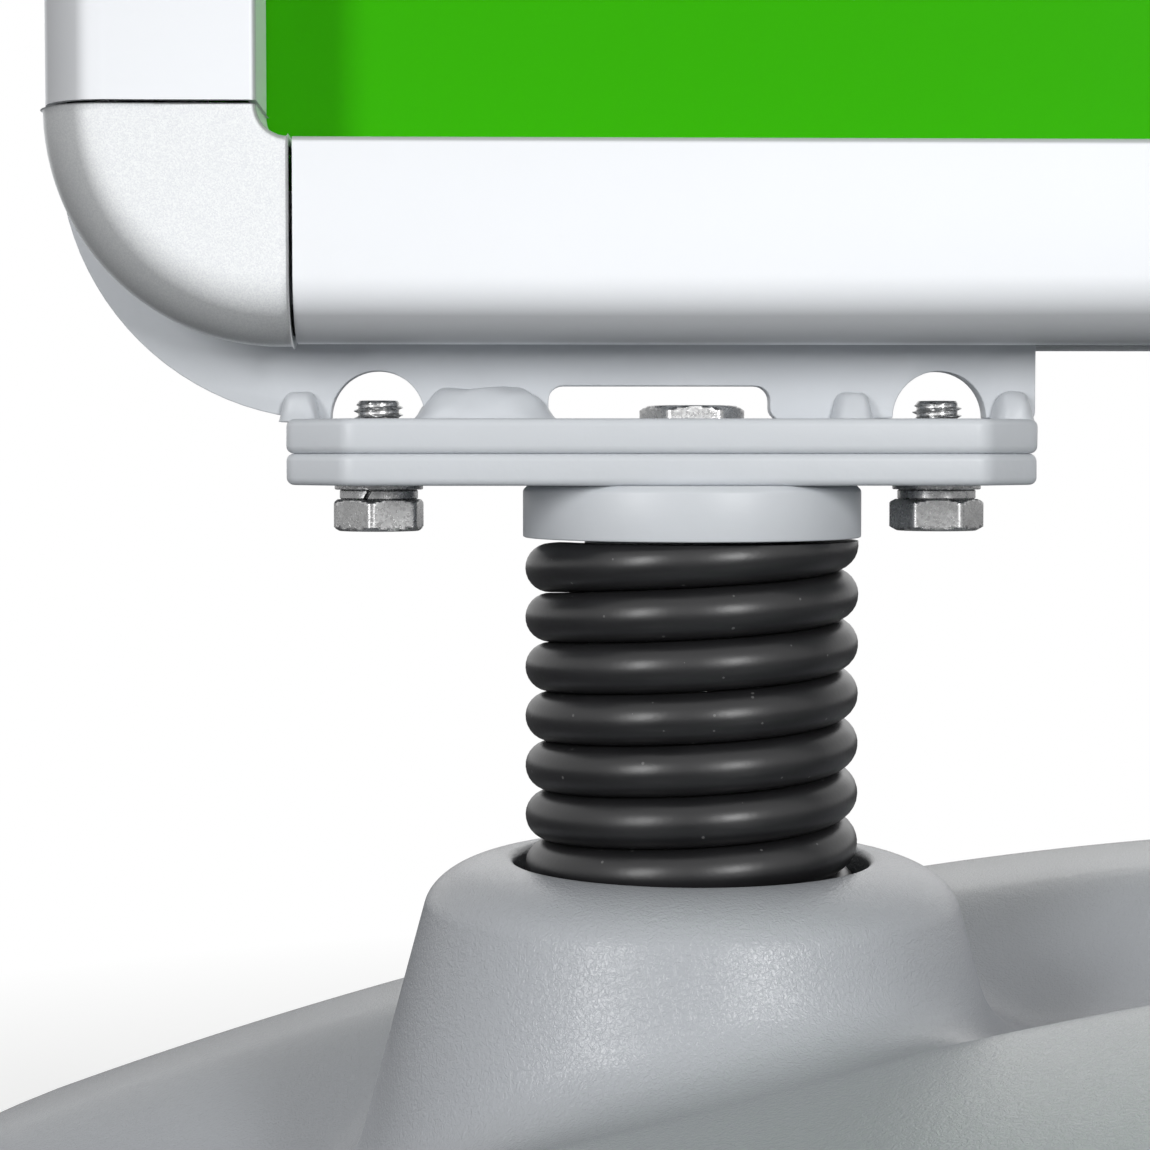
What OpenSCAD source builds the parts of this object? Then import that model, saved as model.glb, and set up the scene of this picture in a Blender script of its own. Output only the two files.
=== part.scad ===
// Double-sided pavement sign on two coil springs, with snap-open poster rails and a hollow base.
// The frame stands across X, its two faces look along -Y and +Y, and the base rests at z = 0.

/* [Base tank] */
// Width of the tank across the two springs
base_w = 800; // [760:10:900]
// Depth of the tank from front to rear
base_d = 480; // [440:10:560]
// Straight stretch at each end of the tank, between its plan corners
end_flat = 80; // [50:5:120]
// Height of the two long humps at mid width
crest_h = 156; // [148:1:162]
// Distance of each hump from the middle plane
crest_y = 80; // [76:1:90]
// Depth of the valley between the humps
valley_drop = 18; // [12:1:22]
// Radius of the long arch that the humps follow
arch_r = 980; // [930:10:1100]
// How far the outer shoulder falls from the hump to the skirt
shoulder_drop = 70; // [55:1:75]
// Wall thickness of the moulded tank
base_wall = 4.5; // [3.5:0.5:6]
// Gap between the tank's underside and the ground
foot_h = 6; // [4:1:10]
// Diameter of the rubber feet
foot_d = 44; // [30:1:60]
// How far each foot is let into the tank
foot_seat = 3; // [2:0.5:4]
// Height of the sloped relief along the rear lower edge
tilt_rise = 40; // [30:1:50]
// Depth of the sloped relief along the rear lower edge
tilt_run = 50; // [40:1:60]

/* [Spring collars] */
// Distance of each spring inward from the frame's outer edge
spring_inset = 127.6; // [120:0.1:140]
// Height of the collar rim above the ground
collar_h = 166.8; // [162:0.2:175]
// Width of the rounded collar rim
rim_w = 18.5; // [14:0.5:20]
// Height of the rounded collar rim
rim_h = 11; // [8:0.5:13]
// Widening of the collar from rim to foot
collar_flare = 16; // [12:1:24]
// Height over which the collar widens
collar_drop = 70; // [64:1:74]
// Clearance between the spring and its well
well_clear = 2.5; // [1.5:0.5:4]
// Depth of the well below the rim
well_depth = 46.8; // [40:0.2:50]

/* [Springs] */
// Outer diameter of the coil springs
spring_d = 68; // [66:0.5:70]
// Diameter of the spring wire
wire_d = 9.6; // [8:0.2:9.6]
// Rise of the spring wire in one turn
coil_pitch = 10.15; // [10.15:0.05:11]
// Height of the flat ring on each spring cap
cap_h = 10.8; // [9:0.2:12]
// Length of the cap's plug inside the coils
cap_plug_len = 24; // [16:1:28]

/* [Clamp plates] */
// Length of the two clamp plates
plate_len = 149.2; // [146:0.2:160]
// Depth of the two clamp plates
plate_d = 60; // [56:1:66]
// Corner cut of the clamp plates
plate_chamfer = 12.5; // [10:0.5:20]
// Thickness of the lower plate
flange_t = 6.2; // [5:0.2:8]
// Thickness of the upper plate
foot_plate_t = 6.8; // [5:0.2:8]
// Offset of the plates outward from the spring
plate_offset = 6.8; // [4:0.2:9]
// Distance of each clamp bolt from the plate's middle
bolt_reach = 57; // [54:0.5:60]
// Height of the joint between the two plates
joint_z = 249.5; // [249.5:0.5:260]

/* [Bracket bar] */
// Reach of the bracket bar inward from the frame's outer edge
bar_len = 197.4; // [190:0.2:210]
// Thickness of the upright bar between the frame halves
bar_t = 6; // [5:0.5:8]
// Radius of the bar's outer corner
bar_corner_r = 54; // [50:1:58]
// Height of the bar's upright leg above the frame's lower edge
bar_leg_h = 260; // [220:5:400]
// Radius of the half-round bolt openings
bolt_gap_r = 9.5; // [9:0.1:11]
// Width of the slot over the centre bolt
slot_w = 45; // [40:1:48]
// Height of the slot over the centre bolt
slot_h = 6.9; // [6:0.1:9]
// Corner radius of the slot
slot_r = 3; // [1.5:0.5:4]

/* [Poster frame] */
// Width of the poster
poster_w = 594; // [580:1:594]
// Height of the poster
poster_h = 841; // [800:1:841]
// Depth of one frame half
frame_d = 26; // [26:0.5:30]
// Width of the face of the upright snap rails
rail_w = 42.1; // [41:0.1:43]
// Width of the face of the snap rails across the top and bottom
cross_w = 39.2; // [38:0.1:42]
// Distance of the poster's edge from the frame's outer edge
sheet_margin = 30.6; // [30.2:0.1:31.5]
// Outer radius of the rail's rounded nose
nose_r = 13; // [12:0.1:13]
// Wall thickness of the rail
rail_t = 1.6; // [1.4:0.1:2]
// Height of the frame's lower edge above the upper clamp plate
frame_lift = 14.7; // [12:0.1:20]
// Gap between a rail and the corner piece
rail_gap = 0.8; // [0.5:0.1:1.2]
// Radius of the notch in a corner piece at the poster's corner
corner_notch = 6; // [5:0.5:8]
// Angle to which a rail opens
rail_open_angle = 95; // [80:1:100]

/* [Wheels] */
// Diameter of the transport wheels
wheel_d = 70; // [60:1:72]
// Width of the transport wheels
wheel_w = 24; // [20:1:30]
// Distance of each wheel from the middle of the tank
wheel_x = 110; // [100:5:125]
// Diameter of the wheel's stub axles
stub_d = 14; // [10:1:16]

/* [Fill plug] */
// Diameter of the filling hole
fill_d = 44; // [36:1:50]
// Depth of the plug in the hole
plug_depth = 16; // [12:1:20]

/* [Hidden] */
$fn = 48;

// One overrun that carries every cut past its face
over = bar_t / 3;
// Running clearance of a pin in its hole, on the radius
run_fit = wire_d / 120;
// Clearance between parts that must not touch
part_clear = wire_d / 32;
// Clearance of a bolt in its hole, on the radius
bolt_clear = wire_d / 64;

// Tank
base_corner_r = (base_d - end_flat) / 2;
arch_z = crest_h - arch_r;
tank_low = foot_h;
valley_steps = 5;
shoulder_steps = 6;
corner_steps = 10;
rim_steps = 7;
tank_half_d = base_d / 2;
shoulder_run = tank_half_d - crest_y;
foot_x_share = 0.31;
foot_y_share = 0.3;
neck_turn_angle = 30;

// Springs and their caps
curl_rings = 8;
curl_sides = 6;
spring_r = spring_d / 2;
wire_r = wire_d / 2;
coil_r = spring_r - wire_r;
well_r = spring_r + well_clear;
well_z = collar_h - well_depth;
ring_r = spring_r + wire_d / 20;
ring_chamfer = cap_h / 9;
plug_r = coil_r * cos(180 / curl_rings) - wire_r - part_clear;
flange_z = joint_z - flange_t;
ring_z = flange_z - cap_h;
spring_low = well_z + cap_h + wire_r;
spring_high = ring_z - wire_r;
spring_turns = (spring_high - spring_low) / coil_pitch;
spring_phase_angle = 251;

// Clamp plates and bolts
foot_plate_top = joint_z + foot_plate_t;
frame_w = poster_w + 2 * sheet_margin;
spring_x = frame_w / 2 - spring_inset;
plate_x = spring_x + plate_offset;
bolt_d = 10;
bolt_af = 17;
bolt_head_h = 6.4;
bolt_len = 20;
bolt_turn_angle = 9;
split_turn_angle = 250;
bolt_hole_r = bolt_d / 2 + bolt_clear;
spring_washer_d = 15.9;
spring_washer_t = 2;
flat_washer_d = 18;
flat_washer_t = 1.1;
bolt_seat_z = flange_z - flat_washer_t - spring_washer_t;
centre_d = 12;
centre_af = 19;
centre_head_h = 7.5;
centre_washer_d = 24;
centre_washer_t = 2.2;
centre_len = 35;
centre_hole_r = centre_washer_d / 2 + flat_washer_t;
anchor_pocket_r = centre_washer_d / 2 + 2 * over;
anchor_floor = 3 * base_wall;
anchor_z = well_z - anchor_floor;
anchor_len = anchor_floor + cap_h + cap_plug_len / 2;
cone_share = 1 / cos(30);

// Poster frame
frame_h = poster_h + 2 * sheet_margin;
frame_z = foot_plate_top + frame_lift;
frame_mid = frame_z + frame_h / 2;
face_y = bar_t / 2 + frame_d;
pivot_u = nose_r;
pivot_v = nose_r;
floor_v = frame_d - rail_t;
panel_t = 1.8;
sheet_t = 0.5;
poster_t = 0.3;
panel_v = floor_v - panel_t;
poster_v = panel_v - poster_t;
cover_v = poster_v - sheet_t;
lip_v = cover_v - part_clear;
bead_r = 2;
claw_in = bead_r + run_fit;
claw_out = claw_in + rail_t;
web_t = rail_t;
upright_angle = 90;
nose_from_angle = 88;
nose_to_angle = 200;
corner_to_angle = 246;
claw_from_angle = -55;
claw_to_angle = 150;
inner_r = nose_r - rail_t - part_clear;
inner_from_angle = upright_angle + rail_open_angle + asin((web_t / 2 + part_clear) / (inner_r - rail_t));
inner_to_angle = 318;
wall_u = pivot_u + inner_r * cos(inner_to_angle) - rail_t / 4;
key_w = sheet_margin - part_clear - wall_u - rail_t;
key_h = 6;
key_len = 30;
corner_proud = 0.5;
corner_w = rail_w + corner_notch;
corner_h = cross_w + corner_notch;
rail_len_x = frame_w - 2 * (corner_w + rail_gap);
rail_len_z = frame_h - 2 * (corner_h + rail_gap);
profile_len_x = frame_w - 2 * corner_w;
profile_len_z = frame_h - 2 * corner_h;
rivet_d = 4.8;
rivet_hole_d = rivet_d + 2 * run_fit;
rivet_head_d = 7.5;
rivet_u = wall_u + rail_t + part_clear + rivet_head_d / 2;
rivet_head_t = 1.4;
rivet_step = 55;
rivet_first = 105;
snap_w = 16;
snap_t = 0.7;
snap_x_share = 0.36;
snap_z_share = 0.27;
leg_w = 40;
spacer_w = 30;
spacer_len = 220;

// Welds
weld_r = 4.2;
weld_len = 24;
tack_len = 7;
weld_at_share = 0.61;
tack_at_share = 0.675;

// Wheels
wheel_y = tank_half_d - wheel_d / 2;
wheel_z = wheel_d / 2 + over;
stub_len = 7;
wheel_gap = over;
pocket_w = wheel_w + 2 * wheel_gap;
pocket_r = wheel_d / 2 + 2 * over;
pocket_wall = stub_len + base_wall;

// Fill plug
neck_r = fill_d / 2;
neck_wall = 2 * base_wall;
valley_z = crest_h - valley_drop;
neck_top = valley_z + base_wall;
plug_flange_r = neck_r + base_wall;
plug_flange_t = base_wall;
plug_wall = 3;

// Distance of the tank's skin from the arch axis at depth y
function skin_r(y) = abs(y) < crest_y
    ? arch_r - valley_drop * (1 + cos(180 * y / crest_y)) / 2
    : arch_r - shoulder_drop * (1 - sqrt(1 - pow((abs(y) - crest_y) / shoulder_run, 2)));

// Depths at which the skin's outline has points, on one side
function skin_depths() = concat(
    [for (i = [0:valley_steps]) crest_y * i / valley_steps],
    [for (i = [1:shoulder_steps]) crest_y + shoulder_run * sin(90 * i / shoulder_steps)]
);

// Outline of the skin from rear to front, drawn in by an inset
function skin_outline(inset) = let (d = skin_depths(), n = len(d), k = (tank_half_d - inset) / tank_half_d)
    concat(
        [for (i = [n - 1:-1:1]) [skin_r(d[i]) - inset, -d[i] * k]],
        [for (i = [0:n - 1]) [skin_r(d[i]) - inset, d[i] * k]]
    );

// Plan outline of the tank, drawn in by an inset
function plan_outline(inset) = let (r = base_corner_r - inset)
    [for (q = [0:3], i = [0:corner_steps])
        let (a = 90 * q + 90 * i / corner_steps)
        [
            (q == 0 || q == 3 ? 1 : -1) * (base_w / 2 - base_corner_r) + r * cos(a),
            (q < 2 ? 1 : -1) * (tank_half_d - base_corner_r) + r * sin(a)
        ]
    ];

// Outline of a collar: a flared wall under a rim that falls away in a quarter ellipse
function collar_outline() = concat(
    [[0, collar_h - collar_drop], [well_r + rim_w + collar_flare, collar_h - collar_drop]],
    [for (i = [0:rim_steps]) let (a = 90 * i / rim_steps)
        [well_r + rim_w * cos(a), collar_h - rim_h + rim_h * sin(a)]],
    [[0, collar_h]]
);

// A point of the spring wire's centre line, with t counting turns
function coil_point(t) = [
    coil_r * cos(spring_phase_angle - 360 * (spring_turns - t)),
    coil_r * sin(spring_phase_angle - 360 * (spring_turns - t)),
    spring_low + coil_pitch * t
];

// One ring of points round the wire
function coil_ring(t) = let (a = spring_phase_angle - 360 * (spring_turns - t), c = coil_point(t))
    [for (j = [0:curl_sides - 1]) let (b = 360 * j / curl_sides)
        c + wire_r * [cos(b) * cos(a), cos(b) * sin(a), sin(b)]];

coil_steps = ceil(spring_turns * curl_rings);
coil_rings = [for (i = [0:coil_steps]) coil_ring(spring_turns * i / coil_steps)];
coil_gap = min([for (i = [0:coil_steps], k = [i + curl_rings - 1:i + curl_rings + 1])
    if (k <= coil_steps) min([for (p = coil_rings[i], q = coil_rings[k]) norm(p - q)])]);
echo(str("Least gap between the spring's turns: ", coil_gap, " mm"));

// Where the rivets stand along the lower bars and the top spacers, from the frame's outer corner
function rivet_run(n) = [for (i = [0:n - 1]) rivet_first + i * rivet_step];

module both_sides() {
    children();
    mirror([1, 0, 0]) children();
}

module front_and_rear() {
    children();
    mirror([0, 1, 0]) children();
}

module at_spring(side) {
    translate([side * spring_x, 0, 0]) children();
}

module at_plate(side) {
    translate([side * plate_x, 0, 0]) children();
}

module hexagon(af) {
    circle(d = af * cone_share, $fn = 6);
}

module washer(d, hole_r, t) {
    difference() {
        cylinder(d = d, h = t);
        translate([0, 0, -over]) cylinder(r = hole_r, h = t + 2 * over);
    }
}

// The arched body, before its hollows are cut
module arched_body(inset) {
    intersection() {
        translate([0, 0, arch_z]) rotate([90, 0, 0])
            rotate_extrude($fn = 180)
                polygon(concat(skin_outline(inset),
                    [[arch_r / 2, tank_half_d - inset], [arch_r / 2, -tank_half_d + inset]]));
        translate([0, 0, tank_low + inset])
            linear_extrude(crest_h) polygon(plan_outline(inset));
        relief_keep(inset);
    }
}

// What the sloped relief along the rear lower edge leaves
module relief_keep(inset) {
    rotate([90, 0, 90]) translate([0, 0, -base_w]) linear_extrude(2 * base_w)
        polygon([
            [-base_d, 0],
            [tank_half_d - tilt_run - inset, 0],
            [tank_half_d - tilt_run - inset, tank_low],
            [tank_half_d - inset, tank_low + tilt_rise],
            [tank_half_d - inset, 2 * crest_h],
            [-base_d, 2 * crest_h]
        ]);
}

// A wheel pocket, open below and behind, grown by its walls where the hollow meets it
module wheel_pocket(side_wall, wall) {
    pocket_h = wheel_z + pocket_r;
    translate([wheel_x - pocket_w / 2 - side_wall, wheel_y - pocket_r - wall, -over])
        cube([pocket_w + 2 * side_wall, tank_half_d, pocket_h + wall + over]);
}

// The thickened rim of the filling hole, turned so that its seam lies off the valley's lowest line
module fill_neck(top) {
    rotate([0, 0, neck_turn_angle]) translate([0, 0, valley_z - neck_wall])
        cylinder(r = plug_flange_r, h = top - valley_z + neck_wall);
}

// The hollow that is filled with water or sand
module tank_hollow() difference() {
    arched_body(base_wall);
    both_sides() at_spring(1) {
        cylinder(r = anchor_pocket_r + base_wall, h = crest_h);
        translate([0, 0, well_z - base_wall]) cylinder(r = well_r + base_wall, h = crest_h);
    }
    both_sides() wheel_pocket(pocket_wall, base_wall);
    fill_neck(crest_h);
}

module base_tank() color([0.62, 0.63, 0.65]) difference() {
    union() {
        arched_body(0);
        both_sides() at_spring(1) rotate_extrude() polygon(collar_outline());
        fill_neck(neck_top);
    }
    tank_hollow();
    both_sides() at_spring(1) {
        translate([0, 0, well_z]) cylinder(r = well_r, h = collar_h);
        cylinder(r = anchor_pocket_r, h = anchor_z);
        cylinder(r = centre_d / 2 + bolt_clear, h = collar_h);
    }
    both_sides() wheel_pocket(0, 0);
    both_sides() translate([wheel_x, wheel_y, wheel_z]) rotate([0, 90, 0])
        cylinder(r = stub_d / 2 + run_fit, h = pocket_w + 2 * (stub_len + part_clear), center = true);
    rotate([0, 0, neck_turn_angle]) translate([0, 0, valley_z - 2 * neck_wall])
        cylinder(r = neck_r, h = crest_h);
    foot_places() cylinder(d = foot_d + 2 * bolt_clear, h = foot_h + foot_seat);
}

module foot_places() {
    both_sides() front_and_rear()
        translate([base_w * foot_x_share, base_d * foot_y_share, 0]) children();
}

module rubber_feet() color([0.12, 0.12, 0.13]) foot_places() cylinder(d = foot_d, h = foot_h + foot_seat);

module wheel(side) color([0.1, 0.1, 0.11]) translate([side * wheel_x, wheel_y, wheel_z]) rotate([0, 90, 0]) {
    difference() {
        cylinder(d = wheel_d, h = wheel_w, center = true);
        hub_recess();
        mirror([0, 0, 1]) hub_recess();
    }
    cylinder(d = stub_d, h = pocket_w + 2 * stub_len, center = true);
}

// The hollow on one side of a wheel, round its hub
module hub_recess() {
    translate([0, 0, wheel_w / 4]) difference() {
        cylinder(d = wheel_d - 4 * base_wall, h = wheel_w);
        translate([0, 0, -over]) cylinder(d = stub_d + 2 * base_wall, h = wheel_w + 2 * over);
    }
}

module fill_plug() color([0.15, 0.15, 0.16]) {
    difference() {
        union() {
            translate([0, 0, neck_top + part_clear]) cylinder(r = plug_flange_r, h = plug_flange_t);
            translate([0, 0, neck_top - plug_depth])
                cylinder(r = neck_r - run_fit, h = plug_depth + plug_flange_t);
        }
        translate([0, 0, neck_top - plug_depth - over])
            cylinder(r = neck_r - run_fit - plug_wall, h = plug_depth);
    }
    translate([0, 0, neck_top + plug_flange_t + plug_flange_t])
        cube([fill_d, plug_flange_t, 2 * plug_flange_t], center = true);
}

// A spring cap with its ring at z = 0 and its plug pointing up
module spring_cap() difference() {
    rotate_extrude() polygon([
        [0, 0],
        [ring_r - ring_chamfer, 0],
        [ring_r, ring_chamfer],
        [ring_r, cap_h],
        [plug_r, cap_h],
        [plug_r, cap_h + cap_plug_len - plug_wall],
        [plug_r - plug_wall, cap_h + cap_plug_len],
        [0, cap_h + cap_plug_len]
    ]);
    translate([0, 0, -over]) cylinder(r = centre_d / 2 + bolt_clear, h = cap_h + cap_plug_len + 2 * over);
}

module lower_spring_cap(side) color([0.35, 0.36, 0.38]) at_spring(side)
    translate([0, 0, well_z]) spring_cap();

module upper_spring_cap(side) color([0.74, 0.76, 0.78]) at_spring(side)
    translate([0, 0, flange_z]) mirror([0, 0, 1]) spring_cap();

module spring(side) color([0.12, 0.12, 0.13]) at_spring(side)
    polyhedron(
        points = [for (r = coil_rings) each r],
        faces = concat(
            [for (j = [1:curl_sides - 2]) [0, j, j + 1]],
            [for (i = [0:coil_steps - 1], j = [0:curl_sides - 1], h = [0:1])
                let (a = i * curl_sides, n = (j + 1) % curl_sides, b = a + curl_sides)
                h == 0 ? [a + j, b + n, a + n] : [a + j, b + j, b + n]],
            [for (j = [1:curl_sides - 2]) let (e = coil_steps * curl_sides) [e, e + j + 1, e + j]]
        )
    );

// A bolt whose head rests its bearing face at z = 0, with the shank pointing up
module bolt(d, af, head_h, length) {
    cylinder(d = d, h = length - d / 10);
    cylinder(d = d - d / 5, h = length);
    translate([0, 0, -head_h]) intersection() {
        linear_extrude(head_h) hexagon(af);
        rotate_extrude() polygon([
            [0, 0],
            [af / 2, 0],
            [af * cone_share / 2, (cone_share - 1) * af / 4],
            [af * cone_share / 2, head_h],
            [0, head_h]
        ]);
    }
}

module anchor_bolts() color([0.7, 0.7, 0.68]) both_sides() at_spring(1)
    translate([0, 0, anchor_z - centre_washer_t]) bolt(centre_d, centre_af, centre_head_h, anchor_len);

module anchor_washers() color([0.72, 0.72, 0.7]) both_sides() at_spring(1)
    translate([0, 0, anchor_z - centre_washer_t])
        washer(centre_washer_d, centre_d / 2 + bolt_clear, centre_washer_t);

// The outline of a clamp plate
module plate_outline() {
    polygon([for (sx = [1, -1], sy = sx > 0 ? [-1, 1] : [1, -1], k = sx * sy > 0 ? [0, 1] : [1, 0])
        [
            sx * (plate_len / 2 - k * plate_chamfer),
            sy * (plate_d / 2 - (1 - k) * plate_chamfer)
        ]
    ]);
}

module clamp_holes(t) {
    for (s = [-1, 1]) translate([s * bolt_reach, 0, -over]) cylinder(r = bolt_hole_r, h = t + 2 * over);
}

module flange_plate(side) color([0.74, 0.76, 0.78]) translate([0, 0, flange_z]) difference() {
    at_plate(side) linear_extrude(flange_t) plate_outline();
    at_plate(side) clamp_holes(flange_t);
    at_spring(side) translate([0, 0, -over])
        cylinder(r = centre_d / 2 + bolt_clear, h = flange_t + 2 * over);
}

module foot_plate(side) color([0.74, 0.76, 0.78]) translate([0, 0, joint_z]) difference() {
    at_plate(side) linear_extrude(foot_plate_t) plate_outline();
    at_plate(side) clamp_holes(foot_plate_t);
    at_spring(side) translate([0, 0, -over]) cylinder(r = centre_hole_r, h = foot_plate_t + 2 * over);
}

module centre_bolts() color([0.72, 0.72, 0.7]) both_sides() at_spring(1)
    translate([0, 0, joint_z + centre_washer_t]) mirror([0, 0, 1])
        bolt(centre_d, centre_af, centre_head_h, centre_len);

module centre_washers() color([0.74, 0.74, 0.72]) both_sides() at_spring(1)
    translate([0, 0, joint_z]) washer(centre_washer_d, centre_d / 2 + bolt_clear, centre_washer_t);

module clamp_bolt_places() {
    both_sides() at_plate(1) for (s = [-1, 1]) translate([s * bolt_reach, 0, 0]) children();
}

module clamp_bolts() color([0.72, 0.72, 0.7]) clamp_bolt_places()
    translate([0, 0, bolt_seat_z]) rotate([0, 0, bolt_turn_angle])
        bolt(bolt_d, bolt_af, bolt_head_h, bolt_len);

module clamp_spring_washers() color([0.7, 0.7, 0.68]) clamp_bolt_places()
    translate([0, 0, bolt_seat_z]) difference() {
        washer(spring_washer_d, bolt_hole_r, spring_washer_t);
        rotate([0, 0, split_turn_angle]) translate([0, -flat_washer_t / 2, -over])
            cube([spring_washer_d, flat_washer_t, spring_washer_t + 2 * over]);
    }

module clamp_flat_washers() color([0.76, 0.76, 0.74]) clamp_bolt_places()
    translate([0, 0, bolt_seat_z + spring_washer_t]) washer(flat_washer_d, bolt_hole_r, flat_washer_t);

// The bar's flat shape, with x from the frame's outer edge inward and y up from the foot plate
module bar_shape() {
    plate_mid = frame_w / 2 - plate_x;
    difference() {
        union() {
            square([bar_len, frame_lift + leg_w]);
            square([leg_w, frame_lift + bar_leg_h]);
        }
        difference() {
            translate([-over, -over]) square(bar_corner_r + over);
            translate([bar_corner_r, bar_corner_r]) circle(bar_corner_r);
        }
        for (s = [-1, 1]) translate([plate_mid + s * bolt_reach, 0]) circle(bolt_gap_r);
        translate([plate_mid - slot_w / 2, -over]) square([slot_w, slot_h - slot_r + over]);
        translate([plate_mid - slot_w / 2 + slot_r, -over]) square([slot_w - 2 * slot_r, slot_h + over]);
        for (s = [-1, 1]) translate([plate_mid + s * (slot_w / 2 - slot_r), slot_h - slot_r]) circle(slot_r);
        for (p = rivet_run(3)) {
            translate([p, frame_lift + rivet_u]) circle(d = rivet_hole_d);
            translate([rivet_u, frame_lift + p]) circle(d = rivet_hole_d);
        }
    }
}

module weld(x, length) {
    translate([x, -bar_t / 2, foot_plate_top]) rotate([0, 90, 0]) {
        cylinder(r = weld_r, h = length - weld_r, center = true);
        for (s = [0, 1]) mirror([0, 0, s]) translate([0, 0, (length - weld_r) / 2])
            cylinder(r1 = weld_r, r2 = weld_r / 3, h = weld_r / 2);
    }
}

module left_bracket_bar() color([0.74, 0.76, 0.78]) {
    translate([-frame_w / 2, bar_t / 2, foot_plate_top]) rotate([90, 0, 0])
        linear_extrude(bar_t) bar_shape();
    front_and_rear() intersection() {
        translate([-plate_x, -face_y / 2 - bar_t / 2, foot_plate_top + weld_r])
            cube([plate_len, face_y, 2 * weld_r], center = true);
        union() {
            weld(-plate_x - plate_len / 2 + tack_len / 2, tack_len);
            weld(-plate_x - bolt_reach * weld_at_share, weld_len);
            weld(-plate_x + bolt_reach * tack_at_share, tack_len);
            weld(-plate_x + plate_len / 2 - tack_len / 2, tack_len);
        }
    }
}

module bracket_bar(side) {
    if (side < 0) left_bracket_bar();
    else mirror([1, 0, 0]) left_bracket_bar();
}

module top_spacers() color([0.74, 0.76, 0.78]) both_sides() difference() {
    translate([-frame_w / 2 + rivet_u, 0, frame_z + frame_h - rivet_first - rivet_step])
        cube([spacer_w, bar_t, spacer_len], center = true);
    for (p = rivet_run(3)) translate([-frame_w / 2 + rivet_u, 0, frame_z + frame_h - p]) rotate([90, 0, 0])
        cylinder(d = rivet_hole_d, h = 2 * bar_t, center = true);
}

// A ring sector in the plane, from one angle to another, in steps of a quarter turn at most
module sector(r_in, r_out, a0, a1) {
    intersection() {
        difference() {
            circle(r_out);
            circle(r_in);
        }
        polygon(concat([[0, 0]],
            [for (i = [0:4]) let (a = a0 + (a1 - a0) * i / 4) 2 * r_out * [cos(a), -sin(a)]]));
    }
}

// Section of the fixed profile: u runs inward from the outer edge, v runs back from the face
module profile_section(width) {
    translate([wall_u, floor_v]) square([width - wall_u, rail_t]);
    translate([wall_u, pivot_v - inner_r * sin(inner_to_angle) - rail_t])
        square([rail_t, floor_v - pivot_v + inner_r * sin(inner_to_angle) + 2 * rail_t]);
    translate([pivot_u, pivot_v]) {
        sector(inner_r - rail_t, inner_r, inner_from_angle, inner_to_angle);
        circle(bead_r);
        translate([-rail_t / 2, 0]) square([rail_t, inner_r - rail_t / 2]);
    }
}

// Section of the snap rail: face, return lip, round nose and the claw on the profile's bead
module rail_section(width) {
    translate([pivot_u, 0]) square([width - pivot_u, rail_t]);
    translate([width - rail_t, 0]) square([rail_t, lip_v]);
    translate([pivot_u, pivot_v]) {
        sector(nose_r - rail_t, nose_r, nose_from_angle, nose_to_angle);
        sector(claw_in, claw_out, claw_from_angle, claw_to_angle);
        translate([-web_t / 2, -pivot_v + rail_t / 2])
            square([web_t, pivot_v - claw_in - rail_t]);
    }
}

// Section of a corner piece, drawn outward from its turning axis, with the rib that its tongues stand on
module corner_section() {
    rib_r = corner_h - wall_u - 3 * rail_t;
    translate([0, -corner_proud]) square([corner_h - pivot_u, rail_t + corner_proud]);
    translate([corner_h - pivot_u, pivot_v]) mirror([1, 0])
        sector(nose_r - rail_t, nose_r + corner_proud, upright_angle, corner_to_angle);
    translate([rib_r, 0]) square([rail_t, lip_v]);
}

// Puts a lower piece that lies along X on the chosen face and end of the frame
module along_x(top, rear, length) {
    translate([0, 0, top ? 2 * frame_mid : 0]) mirror([0, 0, top ? 1 : 0]) mirror([0, rear ? 1 : 0, 0])
        translate([0, -face_y, frame_z]) rotate([0, -90, 0])
            linear_extrude(length, center = true) children();
}

// Puts a left piece that stands along Z on the chosen face and side of the frame
module along_z(right, rear, length) {
    mirror([right ? 1 : 0, 0, 0]) mirror([0, rear ? 1 : 0, 0])
        translate([-frame_w / 2, -face_y, frame_mid])
            linear_extrude(length, center = true) children();
}

module rivet_cut(x, z) {
    translate([x, 0, z]) rotate([90, 0, 0])
        cylinder(d = rivet_hole_d, h = 2 * face_y, center = true);
}

module profile_x(top, rear) color([0.86, 0.87, 0.88]) difference() {
    along_x(top, rear, profile_len_x) profile_section(cross_w);
    if (!top) both_sides() for (p = rivet_run(3)) rivet_cut(-frame_w / 2 + p, frame_z + rivet_u);
}

module profile_z(right, rear) color([0.86, 0.87, 0.88]) difference() {
    along_z(right, rear, profile_len_z) profile_section(rail_w);
    for (p = rivet_run(3), t = [0, 1])
        rivet_cut((right ? 1 : -1) * (frame_w / 2 - rivet_u), t == 0 ? frame_z + p : frame_z + frame_h - p);
}

module rail_x(top, rear) color([0.94, 0.95, 0.97]) along_x(top, rear, rail_len_x) rail_section(cross_w);

module rail_z(right, rear) color([0.94, 0.95, 0.97]) along_z(right, rear, rail_len_z) rail_section(rail_w);

module corner(right, top, rear) color([0.88, 0.89, 0.91])
    translate([0, 0, top ? 2 * frame_mid : 0]) mirror([0, 0, top ? 1 : 0])
        mirror([right ? 0 : 1, 0, 0]) mirror([0, rear ? 1 : 0, 0])
            translate([frame_w / 2 - corner_h, -face_y, frame_z + corner_h]) {
                corner_shell();
                corner_key(key_len);
                rotate([0, 90, 0]) mirror([0, 0, 1]) corner_key(key_len + corner_w - corner_h);
            }

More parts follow.
